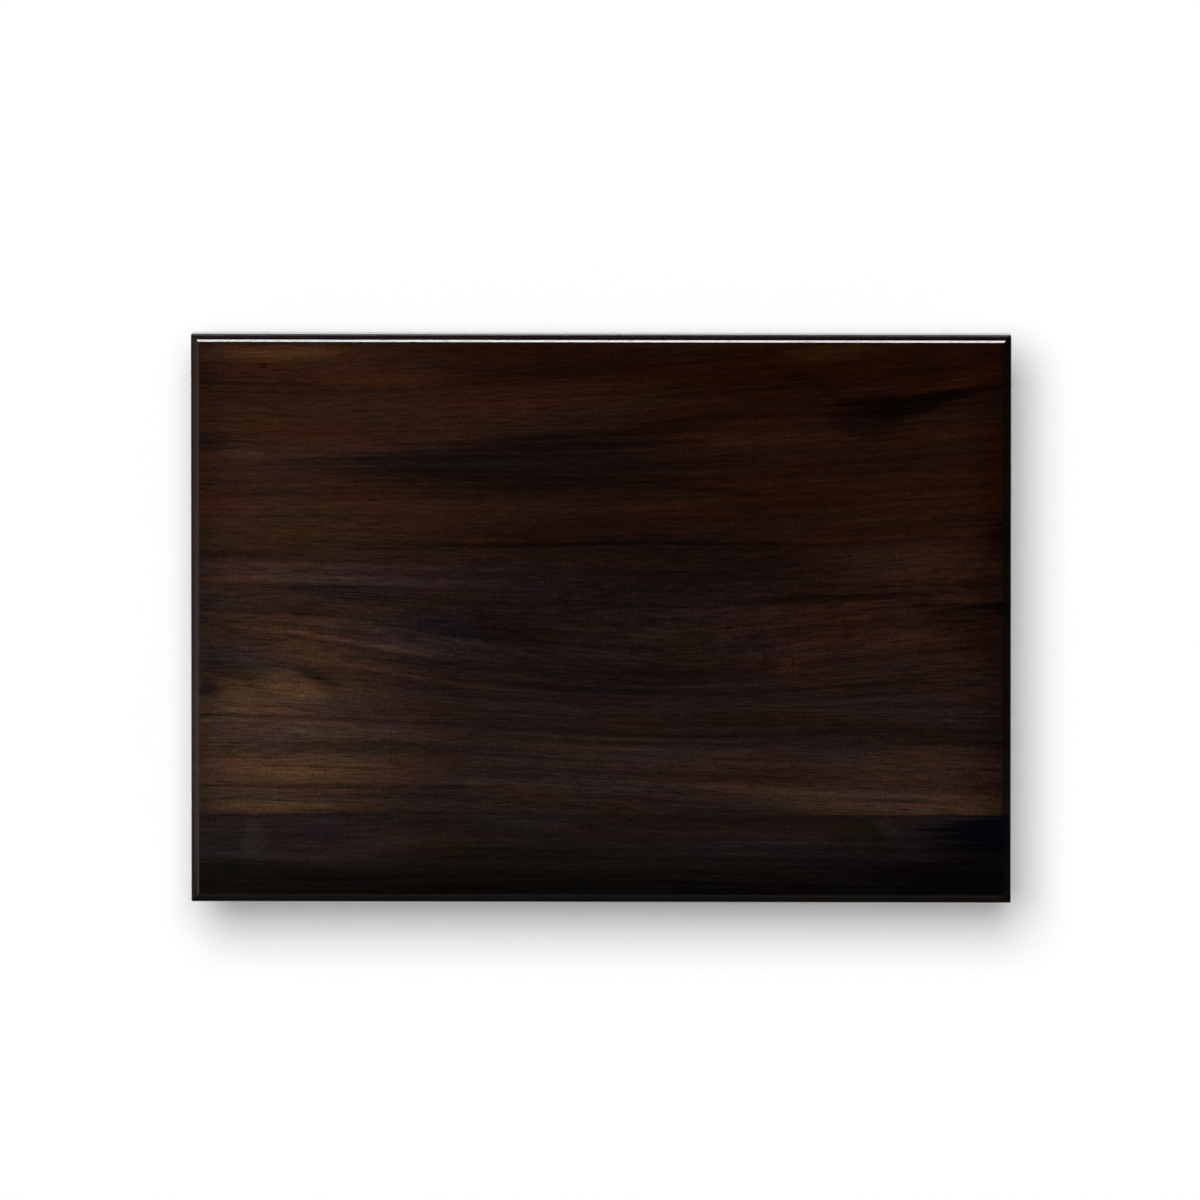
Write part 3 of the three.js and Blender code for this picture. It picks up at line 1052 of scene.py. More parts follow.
@dataclass(frozen=True, kw_only=True)
class Metal(Finish):
    """Plated steel or machined brass."""

    colour: Colour
    dull: Colour
    roughness: float
    bump: float = 0.2
    bump_distance: float = 0.00005
    metallic: float = 1.0

    def surface(self, bench: NodeBench, where: Socket) -> Sockets:
        """Builds the metal's grain in its own colours."""
        grain = bench.place(MetalGrain, {
            "Vector": where,
            "Colour": self.colour,
            "Dull Colour": self.dull,
            "Roughness": self.roughness,
        })
        return grain["Colour"], grain["Roughness"], grain["Height"]


@dataclass(frozen=True, kw_only=True)
class Felt(Finish):
    """Dense brown felt: matted fibres that lie every way."""

    name: str = "pad_felt"
    dark: Colour = (0.022, 0.016, 0.012)
    light: Colour = (0.085, 0.062, 0.046)
    fibres: Triple = (1500.0, 4.0, 0.7)
    mat: Triple = (350.0, 3.0, 0.6)
    warp: Triple = (0.004, -0.004, 0.003)
    mat_share: float = 0.4
    spread: Pair = (0.35, 0.65)
    least_roughness: float = 0.9
    bump: float = 0.8
    bump_distance: float = 0.0004
    specular_level: float = 0.2
    sheen: float = 0.2

    def surface(self, bench: NodeBench, where: Socket) -> Sockets:
        """Builds fibres that bend round the matted tufts."""
        mat = bench.noise(where, *self.mat)
        warp = bench.vector("MULTIPLY", bench.combine(mat, mat, mat), self.warp).outputs[0]
        fibres = bench.noise(bench.vector("ADD", where, warp).outputs[0], *self.fibres)
        tufts = bench.math("MULTIPLY", fibres, 1.0 - self.mat_share)
        depth = bench.smooth(bench.math("MULTIPLY_ADD", mat, self.mat_share, tufts), *self.spread)
        roughness = bench.span(fibres, self.least_roughness, 1.0)
        return bench.tint(depth, self.dark, self.light), roughness, fibres


# ---------------------------------------------------------------------------
# Mesh building
# ---------------------------------------------------------------------------


def mesh_from(bm: Solid, name: str) -> bpy.types.Mesh:
    """Turns a body into a mesh.

    Args:
        bm: The body. It is freed.
        name: The mesh's name.

    Returns:
        The mesh.
    """
    mesh = bpy.data.meshes.new(name)
    bm.to_mesh(mesh)
    bm.free()
    return mesh


def placed(name: str, data: bpy.types.ID) -> bpy.types.Object:
    """Puts a mesh, a light or a camera in the scene.

    Args:
        name: The object's name.
        data: What it shows.

    Returns:
        The new object.
    """
    thing = bpy.data.objects.new(name, data)
    bpy.context.scene.collection.objects.link(thing)
    return thing


def in_order(bm: Solid) -> Solid:
    """Builds a body again with its points and faces in the order of their places, facing outwards.

    The operators leave them in an order that changes from run to run, and a later cut
    would follow that order.

    Args:
        bm: The body. It is freed.

    Returns:
        The same body, in order.
    """
    bm.verts.index_update()
    points = sorted(
        tuple(round(value, PLACE_DIGITS) for value in vert.co) + (vert.index,) for vert in bm.verts
    )
    rank = {point[-1]: number for number, point in enumerate(points)}
    outlines = []
    for face in bm.faces:
        ranks = [rank[vert.index] for vert in face.verts]
        first = ranks.index(min(ranks))
        outlines.append(ranks[first:] + ranks[:first])
    bm.free()
    ordered = bmesh.new()
    verts = [ordered.verts.new(point[:-1]) for point in points]
    for outline in sorted(outlines):
        ordered.faces.new([verts[number] for number in outline])
    bmesh.ops.recalc_face_normals(ordered, faces=ordered.faces)
    return ordered


def finished_piece(
    bm: Solid,
    name: str,
    material: Material,
    stands_for: str,
    sharp_angle: float = math.radians(35),
) -> bpy.types.Object:
    """Turns a body into a piece that rides on the stand and stands for a CAD node.

    Args:
        bm: The body, in the frame's metres. It is freed.
        name: The piece's name.
        material: Its finish.
        stands_for: The CAD node that it replaces.
        sharp_angle: Edges that turn more than this stay crisp.

    Returns:
        The new object.
    """
    bm = in_order(bm)
    for face in bm.faces:
        face.smooth = True
    mesh = mesh_from(bm, name)
    mesh.set_sharp_from_angle(angle=sharp_angle)
    mesh.materials.append(material)
    piece = placed(name, mesh)
    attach(piece, BODY)
    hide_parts(stands_for)
    log.info("made %s", name)
    return piece


def carved(body: Solid, tool: Solid) -> Solid:
    """Cuts one closed body out of another.

    Args:
        body: The body that is cut. It is freed.
        tool: The body that is taken away. It is freed.

    Returns:
        What is left.
    """
    holders = [placed(name, mesh_from(in_order(bm), name)) for name, bm in (("body", body), ("tool", tool))]
    cut = holders[0].modifiers.new("cut", "BOOLEAN")
    cut.operation = "DIFFERENCE"
    cut.solver = "EXACT"
    cut.object = holders[1]
    left = bmesh.new()
    left.from_object(holders[0], bpy.context.evaluated_depsgraph_get())
    for holder in holders:
        mesh = holder.data
        bpy.data.objects.remove(holder)
        bpy.data.meshes.remove(mesh)
    return left


def items_of(found: Sequence[object], kind: type) -> list:
    """Picks the points or the edges out of what an operator gives back."""
    return [item for item in found if isinstance(item, kind)]


def sliced(bm: Solid, place: Sequence[float], normal: Sequence[float], keep_outer: bool = False) -> None:
    """Cuts a body at a plane and closes the cut.

    Args:
        bm: The body.
        place: A point on the plane.
        normal: The way that the plane faces.
        keep_outer: True to keep the side that it faces, and not the other.
    """
    cut = bmesh.ops.bisect_plane(
        bm,
        geom=[*bm.verts, *bm.edges, *bm.faces],
        plane_co=place,
        plane_no=normal,
        clear_inner=keep_outer,
        clear_outer=not keep_outer,
    )
    bmesh.ops.edgeloop_fill(bm, edges=items_of(cut["geom_cut"], bmesh.types.BMEdge))


def eased(bm: Solid, edges: Sequence[bmesh.types.BMEdge], width: float, steps: int) -> None:
    """Rounds some of a body's edges.

    Args:
        bm: The body.
        edges: The edges.
        width: The rounding's width in millimetres.
        steps: How many steps it has.
    """
    bmesh.ops.bevel(
        bm,
        geom=edges,
        offset=width * MM,
        offset_type="OFFSET",
        segments=steps,
        profile=0.5,
        affect="EDGES",
        clamp_overlap=True,
        material=-1,
    )


@dataclass
class Section:
    """Half the section of a turned piece, in millimetres out from its axis and up from its place."""

    points: list[Pair] = field(default_factory=list)

    def line(self, *points: Pair) -> "Section":
        """Draws straight lines from point to point."""
        self.points.extend(points)
        return self

    def lines(self, out: float, up: float, parts: int) -> "Section":
        """Draws a straight line to a point in several parts."""
        first_out, first_up = self.points[-1]
        for part in range(1, parts + 1):
            share = part / parts
            self.line((first_out + (out - first_out) * share, first_up + (up - first_up) * share))
        return self

    def curve(
        self, out: float, up: float, reach: float, rise: float, start: float, end: float, parts: int
    ) -> "Section":
        """Draws part of an ellipse.

        Args:
            out: The middle's distance from the axis.
            up: The middle's height.
            reach: The half width.
            rise: The half height.
            start: The first angle in degrees, from outwards towards up.
            end: The last angle in degrees.
            parts: How many parts the curve has.

        Returns:
            The section.
        """
        for part in range(parts + 1):
            angle = math.radians(start + (end - start) * part / parts)
            self.line((out + reach * math.cos(angle), up + rise * math.sin(angle)))
        return self

    def turned(self, place: Vector, sides: int, closed: bool = False) -> Solid:
        """Spins the section about an upright axis.

        Args:
            place: Where the axis stands, and the height that the section is drawn from.
            sides: How many sides the piece has.
            closed: True where the section is a ring that stays clear of the axis.

        Returns:
            The turned body.
        """
        bm = bmesh.new()
        verts = [bm.verts.new(place + Vector((out, 0.0, up)) * MM) for out, up in self.points]
        edges = [bm.edges.new(pair) for pair in zip(verts, verts[1:] + verts[:1] if closed else verts[1:])]
        bmesh.ops.spin(
            bm,
            geom=[*verts, *edges],
            cent=place,
            axis=(0.0, 0.0, 1.0),
            angle=FULL_TURN,
            steps=sides,
            use_merge=True,
        )
        bmesh.ops.remove_doubles(bm, verts=bm.verts, dist=WELD)
        bmesh.ops.dissolve_degenerate(bm, edges=bm.edges, dist=WELD)
        return bm


def stance(node: str) -> tuple[Vector, float, float]:
    """Finds where a round CAD node stands.

    Args:
        node: The node.

    Returns:
        The middle of its underside, and its radius and height in millimetres.
    """
    low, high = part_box(node)
    middle = (low + high) / 2
    return Vector((middle.x, middle.y, low.z)), (high.x - low.x) / 2 / MM, (high.z - low.z) / MM


# ---------------------------------------------------------------------------
# The stand's pieces
# ---------------------------------------------------------------------------


@dataclass
class Moulding:
    """The moulding's steps from the flat field outwards and down, in millimetres."""

    slope_angle: float = math.radians(40.0)
    slope_ease: float = 1.1
    slope_width: float = 1.1
    ledge_width: float = 1.61
    ledge_angle: float = math.radians(10.0)
    round_radius: float = 1.8
    underside_ease: float = 1.5
    flat_margin: float = 0.8
    arc_steps: int = 10

    def arc(self, radius: float, from_angle: float, to_angle: float) -> list[Pair]:
        """Steps along part of a circle.

        Args:
            radius: The circle's radius.
            from_angle: The start, from straight up towards outwards.
            to_angle: The end.

        Returns:
            Steps outwards and upwards, in millimetres.
        """
        turn = to_angle - from_angle
        angles = [from_angle + turn * number / self.arc_steps for number in range(self.arc_steps + 1)]
        points = [(radius * math.sin(angle), radius * math.cos(angle)) for angle in angles]
        return [(b[0] - a[0], b[1] - a[1]) for a, b in zip(points, points[1:])]

    def steps(self, thickness: float) -> list[Pair]:
        """All steps from the inner edge of the flat margin to the underside.

        Args:
            thickness: The board's thickness in millimetres.

        Returns:
            Steps outwards and upwards, in millimetres.
        """
        quarter = math.pi / 2
        shoulder = self.round_radius * math.cos(self.ledge_angle)
        ledge_fall = self.ledge_width * math.tan(self.ledge_angle)
        slope_fall = self.slope_width * math.tan(self.slope_angle)
        slope_drop = self.slope_ease * (1 - math.cos(self.slope_angle)) + slope_fall
        upright = thickness - slope_drop - ledge_fall - shoulder - self.underside_ease
        return [
            (self.flat_margin, 0.0),
            *self.arc(self.slope_ease, 0.0, self.slope_angle),
            (self.slope_width, -slope_fall),
            (self.ledge_width, -ledge_fall),
            *self.arc(self.round_radius, self.ledge_angle, quarter),
            (0.0, -upright),
            *self.arc(self.underside_ease, quarter, 2 * quarter),
        ]

    @property
    def width(self) -> float:
        """The moulding's width in plan, in millimetres."""
        ease = self.slope_ease * math.sin(self.slope_angle)
        shoulder = self.round_radius * (1 - math.sin(self.ledge_angle))
        return ease + self.slope_width + self.ledge_width + shoulder


@dataclass
class MouldedTop:
    """The two glued boards, with the moulding run round all four edges."""

    moulding: Moulding = field(default_factory=Moulding)
    corner_radius: float = 0.8
    corner_steps: int = 3
    corner_reach: float = 1.001
    mitre_room: float = 0.1
    crisp_angle: float = math.radians(20.0)

    def build(self) -> None:
        """Builds both boards: one moulded top for each, cut at the seam."""
        low, high = self.box()
        half_size = tuple((high - low) / 2)[:2]
        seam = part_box("main_board")[0].y
        for back, node, figure in ((True, "main_board", MAIN_FIGURE), (False, "front_board", FRONT_FIGURE)):
            bm = self.whole(low, high)
            sliced(bm, (0.0, seam, 0.0), (0.0, 1.0, 0.0), keep_outer=back)
            slot = f"{node}_lacquer"
            finish = LacqueredBoard(
                name=slot, figure=figure, half_size=half_size, rim_width=self.moulding.width * MM
            )
            finished_piece(bm, f"{node}_lacquered", finish.material(), node, self.crisp_angle)

    def box(self) -> tuple[Vector, Vector]:
        """The box of both boards together."""
        lows, highs = zip(*(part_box(node) for node in ("main_board", "front_board")))
        return Vector(map(min, zip(*lows))), Vector(map(max, zip(*highs)))

    def whole(self, low: Vector, high: Vector) -> Solid:
        """Builds both boards as one closed body, before the seam is cut.

        Args:
            low: The top's lowest corner.
            high: Its highest corner.

        Returns:
            The moulded top.
        """
        inset = (self.moulding.width + self.moulding.flat_margin) * MM
        bm = bmesh.new()
        bmesh.ops.create_grid(bm, x_segments=1, y_segments=1, size=0.5)
        middle = (low + high) / 2
        size = high - low
        spread = Matrix.Diagonal((size.x - 2 * inset, size.y - 2 * inset, 1.0, 1.0))
        place = Matrix.Translation((middle.x, middle.y, high.z))
        bmesh.ops.transform(bm, matrix=place @ spread, verts=bm.verts)
        ring = list(bm.edges)
        for outwards, upwards in self.moulding.steps(size.z / MM):
            grown = bmesh.ops.extrude_edge_only(bm, edges=ring)["geom"]
            ring = items_of(grown, bmesh.types.BMEdge)
            for vert in items_of(grown, bmesh.types.BMVert):
                vert.co.x += outwards * MM * math.copysign(1.0, vert.co.x - middle.x)
                vert.co.y += outwards * MM * math.copysign(1.0, vert.co.y - middle.y)
                vert.co.z += upwards * MM
        bmesh.ops.edgeloop_fill(bm, edges=ring)
        reach = max(self.moulding.round_radius, self.moulding.underside_ease) * MM
        inner = (size / 2).x - reach * self.corner_reach
        mitres = [edge for edge in bm.edges if self.is_mitre(edge, middle.x, inner)]
        eased(bm, mitres, self.corner_radius, self.corner_steps)
        for vert in bm.verts:
            vert.co = Vector(map(max, zip(low, map(min, zip(high, vert.co)))))
        return bm

    def is_mitre(self, edge: bmesh.types.BMEdge, middle: float, inner: float) -> bool:
        """Tells whether an edge runs down an outer corner, and not along a side.

        Args:
            edge: The edge.
            middle: The top's middle along X.
            inner: How far from the middle the corners start.

        Returns:
            True for the edges that a corner's rounding takes in.
        """
        run = edge.verts[1].co - edge.verts[0].co
        outer = all(abs(vert.co.x - middle) > inner for vert in edge.verts)
        return outer and abs(abs(run.x) - abs(run.y)) < self.mitre_room * MM


@dataclass
class Batten:
    """A batten with chamfered lower edges and three slots for its screws and washers."""

    side: Side
    edge_chamfer: float = 2.0
    end_chamfer: float = 8.0
    softening: float = 0.5
    soft_steps: int = 2
    shank_radius: float = 2.3
    slot_room: float = 0.3
    mouth_chamfer: float = 0.5
    board_movement: float = 3.0
    axis_room: float = 0.01
    slot_sides: int = 64
    overshoot: float = 2.0

    def build(self, finish: Material) -> None:
        """Builds the batten.

        Args:
            finish: Its material.
        """
        node = f"batten_{self.side.word}"
        low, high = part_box(node)
        bm = self.blank(low, high)
        for row in Row:
            bm = carved(bm, self.slot(row, low.z, high.z))
        finished_piece(bm, f"{node}_softened", finish, node)

    def blank(self, low: Vector, high: Vector) -> Solid:
        """Builds the batten before its slots are cut.

        Args:
            low: The lowest corner of its box.
            high: The highest corner.

        Returns:
            The chamfered and softened bar.
        """
        bm = bmesh.new()
        size = Matrix.Diagonal((*(high - low), 1.0))
        bmesh.ops.create_cube(bm, size=1.0, matrix=Matrix.Translation((low + high) / 2) @ size)
        for x, y, chamfer in (
            (1.0, 0.0, self.edge_chamfer),
            (-1.0, 0.0, self.edge_chamfer),
            (0.0, 1.0, self.end_chamfer),
            (0.0, -1.0, self.end_chamfer),
        ):
            corner = (high.x if x > 0 else low.x, high.y if y > 0 else low.y, low.z + chamfer * MM)
            sliced(bm, corner, Vector((x, y, -1.0)).normalized())
        eased(bm, list(bm.edges), self.softening, self.soft_steps)
        return bm

    def slot(self, row: Row, bottom: float, top: float) -> Solid:
        """Builds the tool that cuts one stepped slot, which lets the boards move across the grain.

        Args:
            row: The screw's row.
            bottom: The height of the batten's lower face.
            top: The height of its upper face.

        Returns:
            The stepped tool.
        """
        where = f"{self.side.word}_{row.word}"
        _, washer_radius, _ = stance(f"batten_washer_{where}")
        place, _, _ = stance(f"batten_screw_{where}")
        place.z = bottom
        wide = washer_radius + self.slot_room
        seat = (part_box(f"batten_washer_{where}")[1].z - bottom) / MM
        far = (top - bottom) / MM + self.overshoot
        mouth = wide + self.mouth_chamfer + self.overshoot
        tool = (
            Section()
            .line((0.0, -self.overshoot), (mouth, -self.overshoot), (wide, self.mouth_chamfer), (wide, seat))
            .line((self.shank_radius, seat), (self.shank_radius, far), (0.0, far))
            .turned(place, self.slot_sides)
        )
        play = 0.0 if row is Row.MIDDLE else self.board_movement * MM
        for vert in tool.verts:
            off = vert.co.y - place.y
            if abs(off) > self.axis_room * MM:
                vert.co.y += math.copysign(play, off)
        return tool


@dataclass
class BattenScrew:
    """A round-headed steel screw with a cross recess, and the washer that it draws up."""

    side: Side
    row: Row
    head_radius: float = 4.0
    head_height: float = 3.0
    head_steps: int = 12
    shank_radius: float = 2.0
    point_length: float = 4.0
    recess_depth: float = 1.7
    recess_width: float = 1.0
    recess_span: float = 4.6
    recess_taper: float = 0.55
    sides: int = 48
    washer_hole: float = 2.3
    washer_ease: float = 0.15
    washer_sides: int = 64

    def build(self, finish: Material) -> None:
        """Builds the screw and its washer.

        Args:
            finish: Their material.
        """
        where = f"{self.side.word}_{self.row.word}"
        screw = f"batten_screw_{where}"
        finished_piece(self.screw(screw), f"{screw}_recessed", finish, screw)
        washer = f"batten_washer_{where}"
        finished_piece(self.washer(washer), f"{washer}_eased", finish, washer)

    def screw(self, node: str) -> Solid:
        """Builds the screw, pointing up.

        Args:
            node: The screw's CAD node.

        Returns:
            The screw with its recess cut.
        """
        place, _, height = stance(node)
        seat = place + Vector((0.0, 0.0, self.head_height * MM))
        length = height - self.head_height
        bm = (
            Section()
            .line((0.0, -self.head_height))
            .curve(0.0, 0.0, self.head_radius, self.head_height, -90.0, 0.0, self.head_steps)
            .line((self.shank_radius, 0.0), (self.shank_radius, length - self.point_length), (0.0, length))
            .turned(seat, self.sides)
        )
        for turn in (0.0, math.pi / 2):
            bm = carved(bm, self.recess(place, turn))
        return bm

    def recess(self, bottom: Vector, turn: float) -> Solid:
        """Builds one arm of the cross recess as a tapered blade.

        Args:
            bottom: The lowest point of the head.
            turn: How far the blade is turned about the screw.

        Returns:
            The blade.
        """
        bm = bmesh.new()
        sizes = (self.recess_span * MM, self.recess_width * MM, 2 * self.recess_depth * MM)
        bmesh.ops.create_cube(bm, size=1.0, matrix=Matrix.Diagonal((*sizes, 1.0)))
        for vert in bm.verts:
            if vert.co.z > 0:
                vert.co.x *= self.recess_taper
                vert.co.y *= self.recess_taper
        place = Matrix.Translation(bottom) @ Matrix.Rotation(turn, 4, "Z")
        bmesh.ops.transform(bm, matrix=place, verts=bm.verts)
        return bm

    def washer(self, node: str) -> Solid:
        """Builds the washer with eased rims.

        Args:
            node: The washer's CAD node.

        Returns:
            The washer.
        """
        place, outer, thick = stance(node)
        hole = self.washer_hole
        ease = self.washer_ease
        return (
            Section()
            .line((hole + ease, 0.0), (outer - ease, 0.0), (outer, ease), (outer, thick - ease))
            .line((outer - ease, thick), (hole + ease, thick), (hole, thick - ease), (hole, ease))
            .turned(place, self.washer_sides, closed=True)
        )


@dataclass
class BunFoot:
    """A turned bun foot with its felt pad: bead, cove, bulb and base."""

    depth: Depth
    side: Side
    seat_radius: float = 18.0
    bead_radius: float = 2.0
    bead_steps: int = 14
    rim_radius: float = 16.0
    neck_radius: float = 13.5
    cove_height: float = 6.0
    cove_steps: int = 16
    bulb_radius: float = 22.0
    bulb_height: float = 20.0
    bulb_steps: int = 28
    base_ease: float = 1.0
    ease_steps: int = 4
    bore_radius: float = 4.3
    bore_depth: float = 21.9
    collar_radius: float = 5.8
    collar_depth: float = 1.6
    sides: int = 128
    pad_ease: float = 0.6
    pad_rings: int = 22
    pad_layers: int = 3
    pad_top_rings: int = 4
    fuzz: float = 0.12
    fuzz_scale: float = 900.0
    sole: float = 0.1

    def build(self, wood: Material, felt: Material) -> None:
        """Builds the foot and its pad.

        Args:
            wood: The foot's material.
            felt: The pad's material.
        """
        where = f"{self.depth.word}_{self.side.word}"
        foot = f"foot_{where}"
        finished_piece(self.foot(foot), f"{foot}_turned", wood, foot)
        pad = f"felt_pad_{where}"
        finished_piece(self.pad(pad), f"{pad}_fibrous", felt, pad)

    def foot(self, node: str) -> Solid:
        """Builds the turned foot, hanging from its seat.

        Args:
            node: The foot's CAD node.

        Returns:
            The foot.
        """
        seat, _, height = stance(node)
        seat.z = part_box(node)[1].z
        bead = self.bead_radius
        cove = self.cove_height / 2
        bulb = self.bulb_height / 2
        cove_middle = -2 * bead - cove
        bulb_middle = -2 * bead - self.cove_height - bulb
        rim = self.rim_radius
        ease = self.base_ease
        return (
            Section()
            .line((0.0, -height), (rim - ease, -height))
            .curve(rim - ease, ease - height, ease, ease, -90.0, 0.0, self.ease_steps)
            .curve(rim, bulb_middle, self.bulb_radius - rim, bulb, -90.0, 90.0, self.bulb_steps)
            .curve(rim, cove_middle, rim - self.neck_radius, cove, 270.0, 90.0, self.cove_steps)
            .curve(self.seat_radius - bead, -bead, bead, bead, -90.0, 90.0, self.bead_steps)
            .line((self.collar_radius, 0.0), (self.collar_radius, -self.collar_depth))
            .line((self.bore_radius, -self.collar_depth), (self.bore_radius, -self.bore_depth))
            .line((0.0, -self.bore_depth))
            .turned(seat, self.sides)
        )

    def pad(self, node: str) -> Solid:
        """Builds the felt pad, with a slightly uneven, fibrous face and rim.

        Args:
            node: The pad's CAD node.

        Returns:
            The pad.
        """
        place, radius, thick = stance(node)
        ease = self.pad_ease
        inner = radius - ease
        bm = (
            Section()
            .line((0.0, 0.0))
            .lines(inner, 0.0, self.pad_rings)
            .curve(inner, ease, ease, ease, -90.0, 0.0, self.ease_steps)
            .lines(radius, thick - ease, self.pad_layers)
            .curve(inner, thick - ease, ease, ease, 0.0, 90.0, self.ease_steps)
            .lines(0.0, thick, self.pad_top_rings)
            .turned(place, self.sides)
        )
        low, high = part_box(node)
        centre = (low + high) / 2
        for vert in bm.verts:
            lift = (0.5 + 0.5 * noise.noise(vert.co * self.fuzz_scale)) * self.fuzz * MM
            on_sole = vert.co.z <= low.z + self.sole * MM
            vert.co += (Vector((0.0, 0.0, 1.0)) if on_sole else (centre - vert.co).normalized()) * lift
        return bm


@dataclass
class HiddenHardware:
    """The tongue, bolts and inserts, which keep their CAD form and only need a finish."""

    wood: Material
    steel: Material
    brass: Material

    def dress(self) -> None:
        """Gives each hidden piece its material."""
        finishes = {"seam_tongue": self.wood, "foot_bolt": self.steel, "foot_insert": self.brass}
        for start, finish in finishes.items():
            for name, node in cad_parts.items():
                if name.startswith(start):
                    for slot in node.material_slots:
                        slot.material = finish
                    log.info("dressed %s", name)


# ---------------------------------------------------------------------------
# Studio
# ---------------------------------------------------------------------------


@dataclass
class Studio:
    """A pale floor, soft light and a distant camera that looks down on the stand."""

    frame_width: float = 0.6688
    aim_north: float = 0.01055
    aim_east: float = -0.00048
    lens: float = 900.0
    sensor: float = 36.0
    lean_north: float = math.radians(4.6)
    lean_east: float = math.radians(1.2)
    floor_size: float = 12.0
    floor_white: float = 0.86
    floor_fill: float = 0.15
    key_strength: float = 1.0
    key_lean_north: float = math.radians(18.0)
    key_lean_west: float = math.radians(7.0)
    key_spread: float = math.radians(47.0)
    ambient: float = 0.05
    overhead: Colour = (0.012, 0.012, 0.014)
    west_glow: Colour = (1.15, 0.82, 0.78)
    east_glow: Colour = (0.07, 0.06, 0.06)
    north_glow: Colour = (0.42, 0.36, 0.52)
    south_glow: Colour = (0.27, 0.21, 0.17)
    glow_start: Pair = (0.12, 0.4)
    glow_sides: Pair = (0.4, 0.2)
    low_glow: Pair = (0.24, 0.18)
    high_glow: Pair = (0.84, 0.92)
    middle_glow: float = 0.3
    bar_length: float = 0.9
    bar_width: float = 0.0045
    bar_distance: float = 0.1
    bar_elevation: float = math.radians(14.8)
    bar_radiance: float = 36.0

    def build(self) -> None:
        """Builds the studio."""
        self.floor()
        self.world()
        self.key()
        self.reflector()
        self.camera()
        bpy.context.scene.view_settings.view_transform = "Standard"

    def floor(self) -> None:
        """Builds the floor, which shows the stand from below too."""
        bm = bmesh.new()
        bmesh.ops.create_grid(bm, x_segments=1, y_segments=1, size=self.floor_size / 2)
        material, bench, shader = new_material("floor_paper")
        white = (self.floor_white,) * 3
        bench.fill(shader, {"Base Color": white, "Roughness": 1.0, "Specular IOR Level": 0.0})
        path = bench.add("ShaderNodeLightPath").outputs
        seen = bench.math("MAXIMUM", path["Is Camera Ray"], path["Is Glossy Ray"])
        seen = bench.math("MAXIMUM", seen, path["Is Transmission Ray"])
        glow = bench.add("ShaderNodeEmission", {"Strength": bench.math("MULTIPLY", seen, self.floor_fill)})
        lit = bench.add("ShaderNodeAddShader", {0: shader.outputs[0], 1: glow.outputs[0]})
        clear = bench.add("ShaderNodeBsdfTransparent")
        below = bench.add("ShaderNodeNewGeometry").outputs["Backfacing"]
        sided = bench.add("ShaderNodeMixShader", {0: below, 1: lit.outputs[0], 2: clear.outputs[0]})
        output = next(node for node in bench.tree.nodes if node.type == "OUTPUT_MATERIAL")
        bench.fill(output, {"Surface": sided.outputs[0]})
        mesh = mesh_from(bm, "floor")
        mesh.materials.append(material)
        placed("floor", mesh)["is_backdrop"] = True

    def world(self) -> None:
        """Builds the surroundings: white to the eye, four narrow glows on a dim room in reflections."""
        world = bpy.data.worlds.new("studio")
        bpy.context.scene.world = world
        world.use_nodes = True
        world.node_tree.nodes.clear()
        bench = NodeBench(world.node_tree)
        direction = bench.add("ShaderNodeTexCoord").outputs["Generated"]
        east, north, up = bench.separate(direction)
        level = bench.math("MAXIMUM", bench.smooth(up, *self.low_glow), bench.smooth(up, *self.high_glow))
        level = bench.span(level, self.middle_glow, 1.0)
        room = self.overhead
        for axis, beside, sense, glow in (
            (east, north, -1.0, self.west_glow),
            (east, north, 1.0, self.east_glow),
            (north, east, 1.0, self.north_glow),
            (north, east, -1.0, self.south_glow),
        ):
            share = bench.smooth(bench.math("MULTIPLY", axis, sense), *self.glow_start)
            narrow = bench.smooth(bench.math("ABSOLUTE", beside), *self.glow_sides)
            share = bench.math("MULTIPLY", bench.math("MULTIPLY", share, narrow), level)
            room = bench.tint(share, room, glow, "ADD")
        path = bench.add("ShaderNodeLightPath").outputs
        seen = bench.math("MAXIMUM", path["Is Camera Ray"], path["Is Transmission Ray"])
        soft = bench.tint(path["Is Diffuse Ray"], room, (self.ambient,) * 3)
        colour = bench.tint(seen, soft, (1.0, 1.0, 1.0))
        back = bench.add("ShaderNodeBackground", {"Color": colour, "Strength": 1.0})
        bench.add("ShaderNodeOutputWorld", {"Surface": back.outputs[0]})

    @staticmethod
    def hung(data: bpy.types.Light, towards: Vector) -> bpy.types.Object:
        """Hangs a light that shines on the stand.

        Args:
            data: The light.
            towards: The way from the stand to the light.

        Returns:
            The light's object.
        """
        light = placed(data.name, data)
        light.rotation_mode = "QUATERNION"
        light.rotation_quaternion = towards.to_track_quat("Z", "Y")
        return light

    def key(self) -> None:
        """Hangs the wide soft key light high over the back left of the stand."""
        data = bpy.data.lights.new("key", "SUN")
        data.energy = self.key_strength * math.pi
        data.angle = self.key_spread
        towards = Vector((-math.tan(self.key_lean_west), math.tan(self.key_lean_north), 1.0))
        self.hung(data, towards).visible_glossy = False

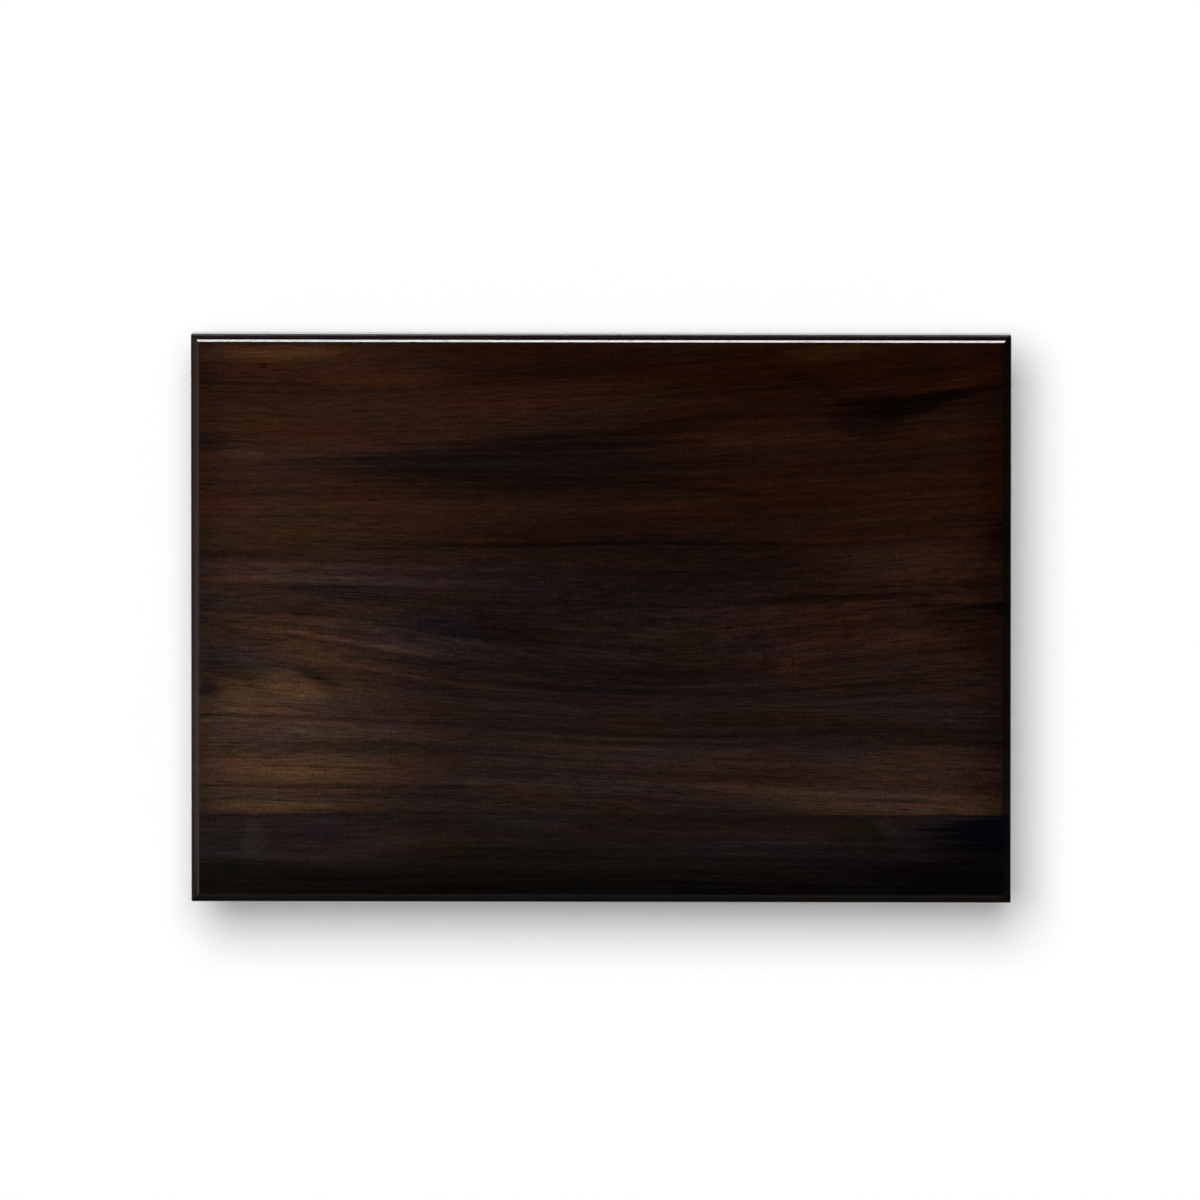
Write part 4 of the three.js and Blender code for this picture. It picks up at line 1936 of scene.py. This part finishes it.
    def reflector(self) -> None:
        """Hangs a thin bright bar close behind the top, which only the gloss of its edge picks up."""
        data = bpy.data.lights.new("back_bar", "AREA")
        data.shape = "RECTANGLE"
        data.size = self.bar_length
        data.size_y = self.bar_width
        data.energy = self.bar_radiance * math.pi * self.bar_length * self.bar_width
        away = Vector((0.0, self.bar_distance, self.bar_distance * math.tan(self.bar_elevation)))
        _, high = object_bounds()
        light = self.hung(data, away)
        light.location = Vector((0.0, high.y, high.z)) + away
        light.visible_diffuse = False
        light.visible_camera = False

    def camera(self) -> None:
        """Sets the camera far above, leaning a little towards the back and the right."""
        data = bpy.data.cameras.new("camera")
        data.lens = self.lens
        data.sensor_width = self.sensor
        camera = placed("camera", data)
        _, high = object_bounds()
        target = Vector((self.aim_east, self.aim_north, high.z))
        back = Vector((math.tan(self.lean_east), math.tan(self.lean_north), 1.0)).normalized()
        distance = self.frame_width * self.lens / self.sensor
        right = Vector((0.0, 1.0, 0.0)).cross(back).normalized()
        turn = Matrix((right, back.cross(right), back)).transposed().to_4x4()
        camera.matrix_world = Matrix.Translation(target + back * distance) @ turn
        data.clip_end = 2 * distance
        bpy.context.scene.camera = camera


def main() -> None:
    """Builds the stand's looks in order."""
    logging.basicConfig(level=logging.INFO, format="%(name)s: %(message)s")
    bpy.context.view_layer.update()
    MouldedTop().build()
    batten_wood = LacqueredWood(name="batten_lacquer", lie=Grain.ALONG_Y).material()
    foot_wood = LacqueredWood(name="foot_lacquer", lie=Grain.ALONG_Z, gloss_roughness=0.15).material()
    steel = Metal(name="zinc_steel", colour=(0.42, 0.43, 0.44), dull=(0.30, 0.31, 0.33), roughness=0.34)
    brass = Metal(name="insert_brass", colour=(0.52, 0.35, 0.12), dull=(0.36, 0.23, 0.08), roughness=0.32)
    plated, machined, felt = steel.material(), brass.material(), Felt().material()
    for side in Side:
        Batten(side).build(batten_wood)
        for row in Row:
            BattenScrew(side, row).build(plated)
        for depth in Depth:
            BunFoot(depth, side).build(foot_wood, felt)
    HiddenHardware(BareWood().material(), plated, machined).dress()
    Studio().build()


if __name__ == "__main__":
    main()
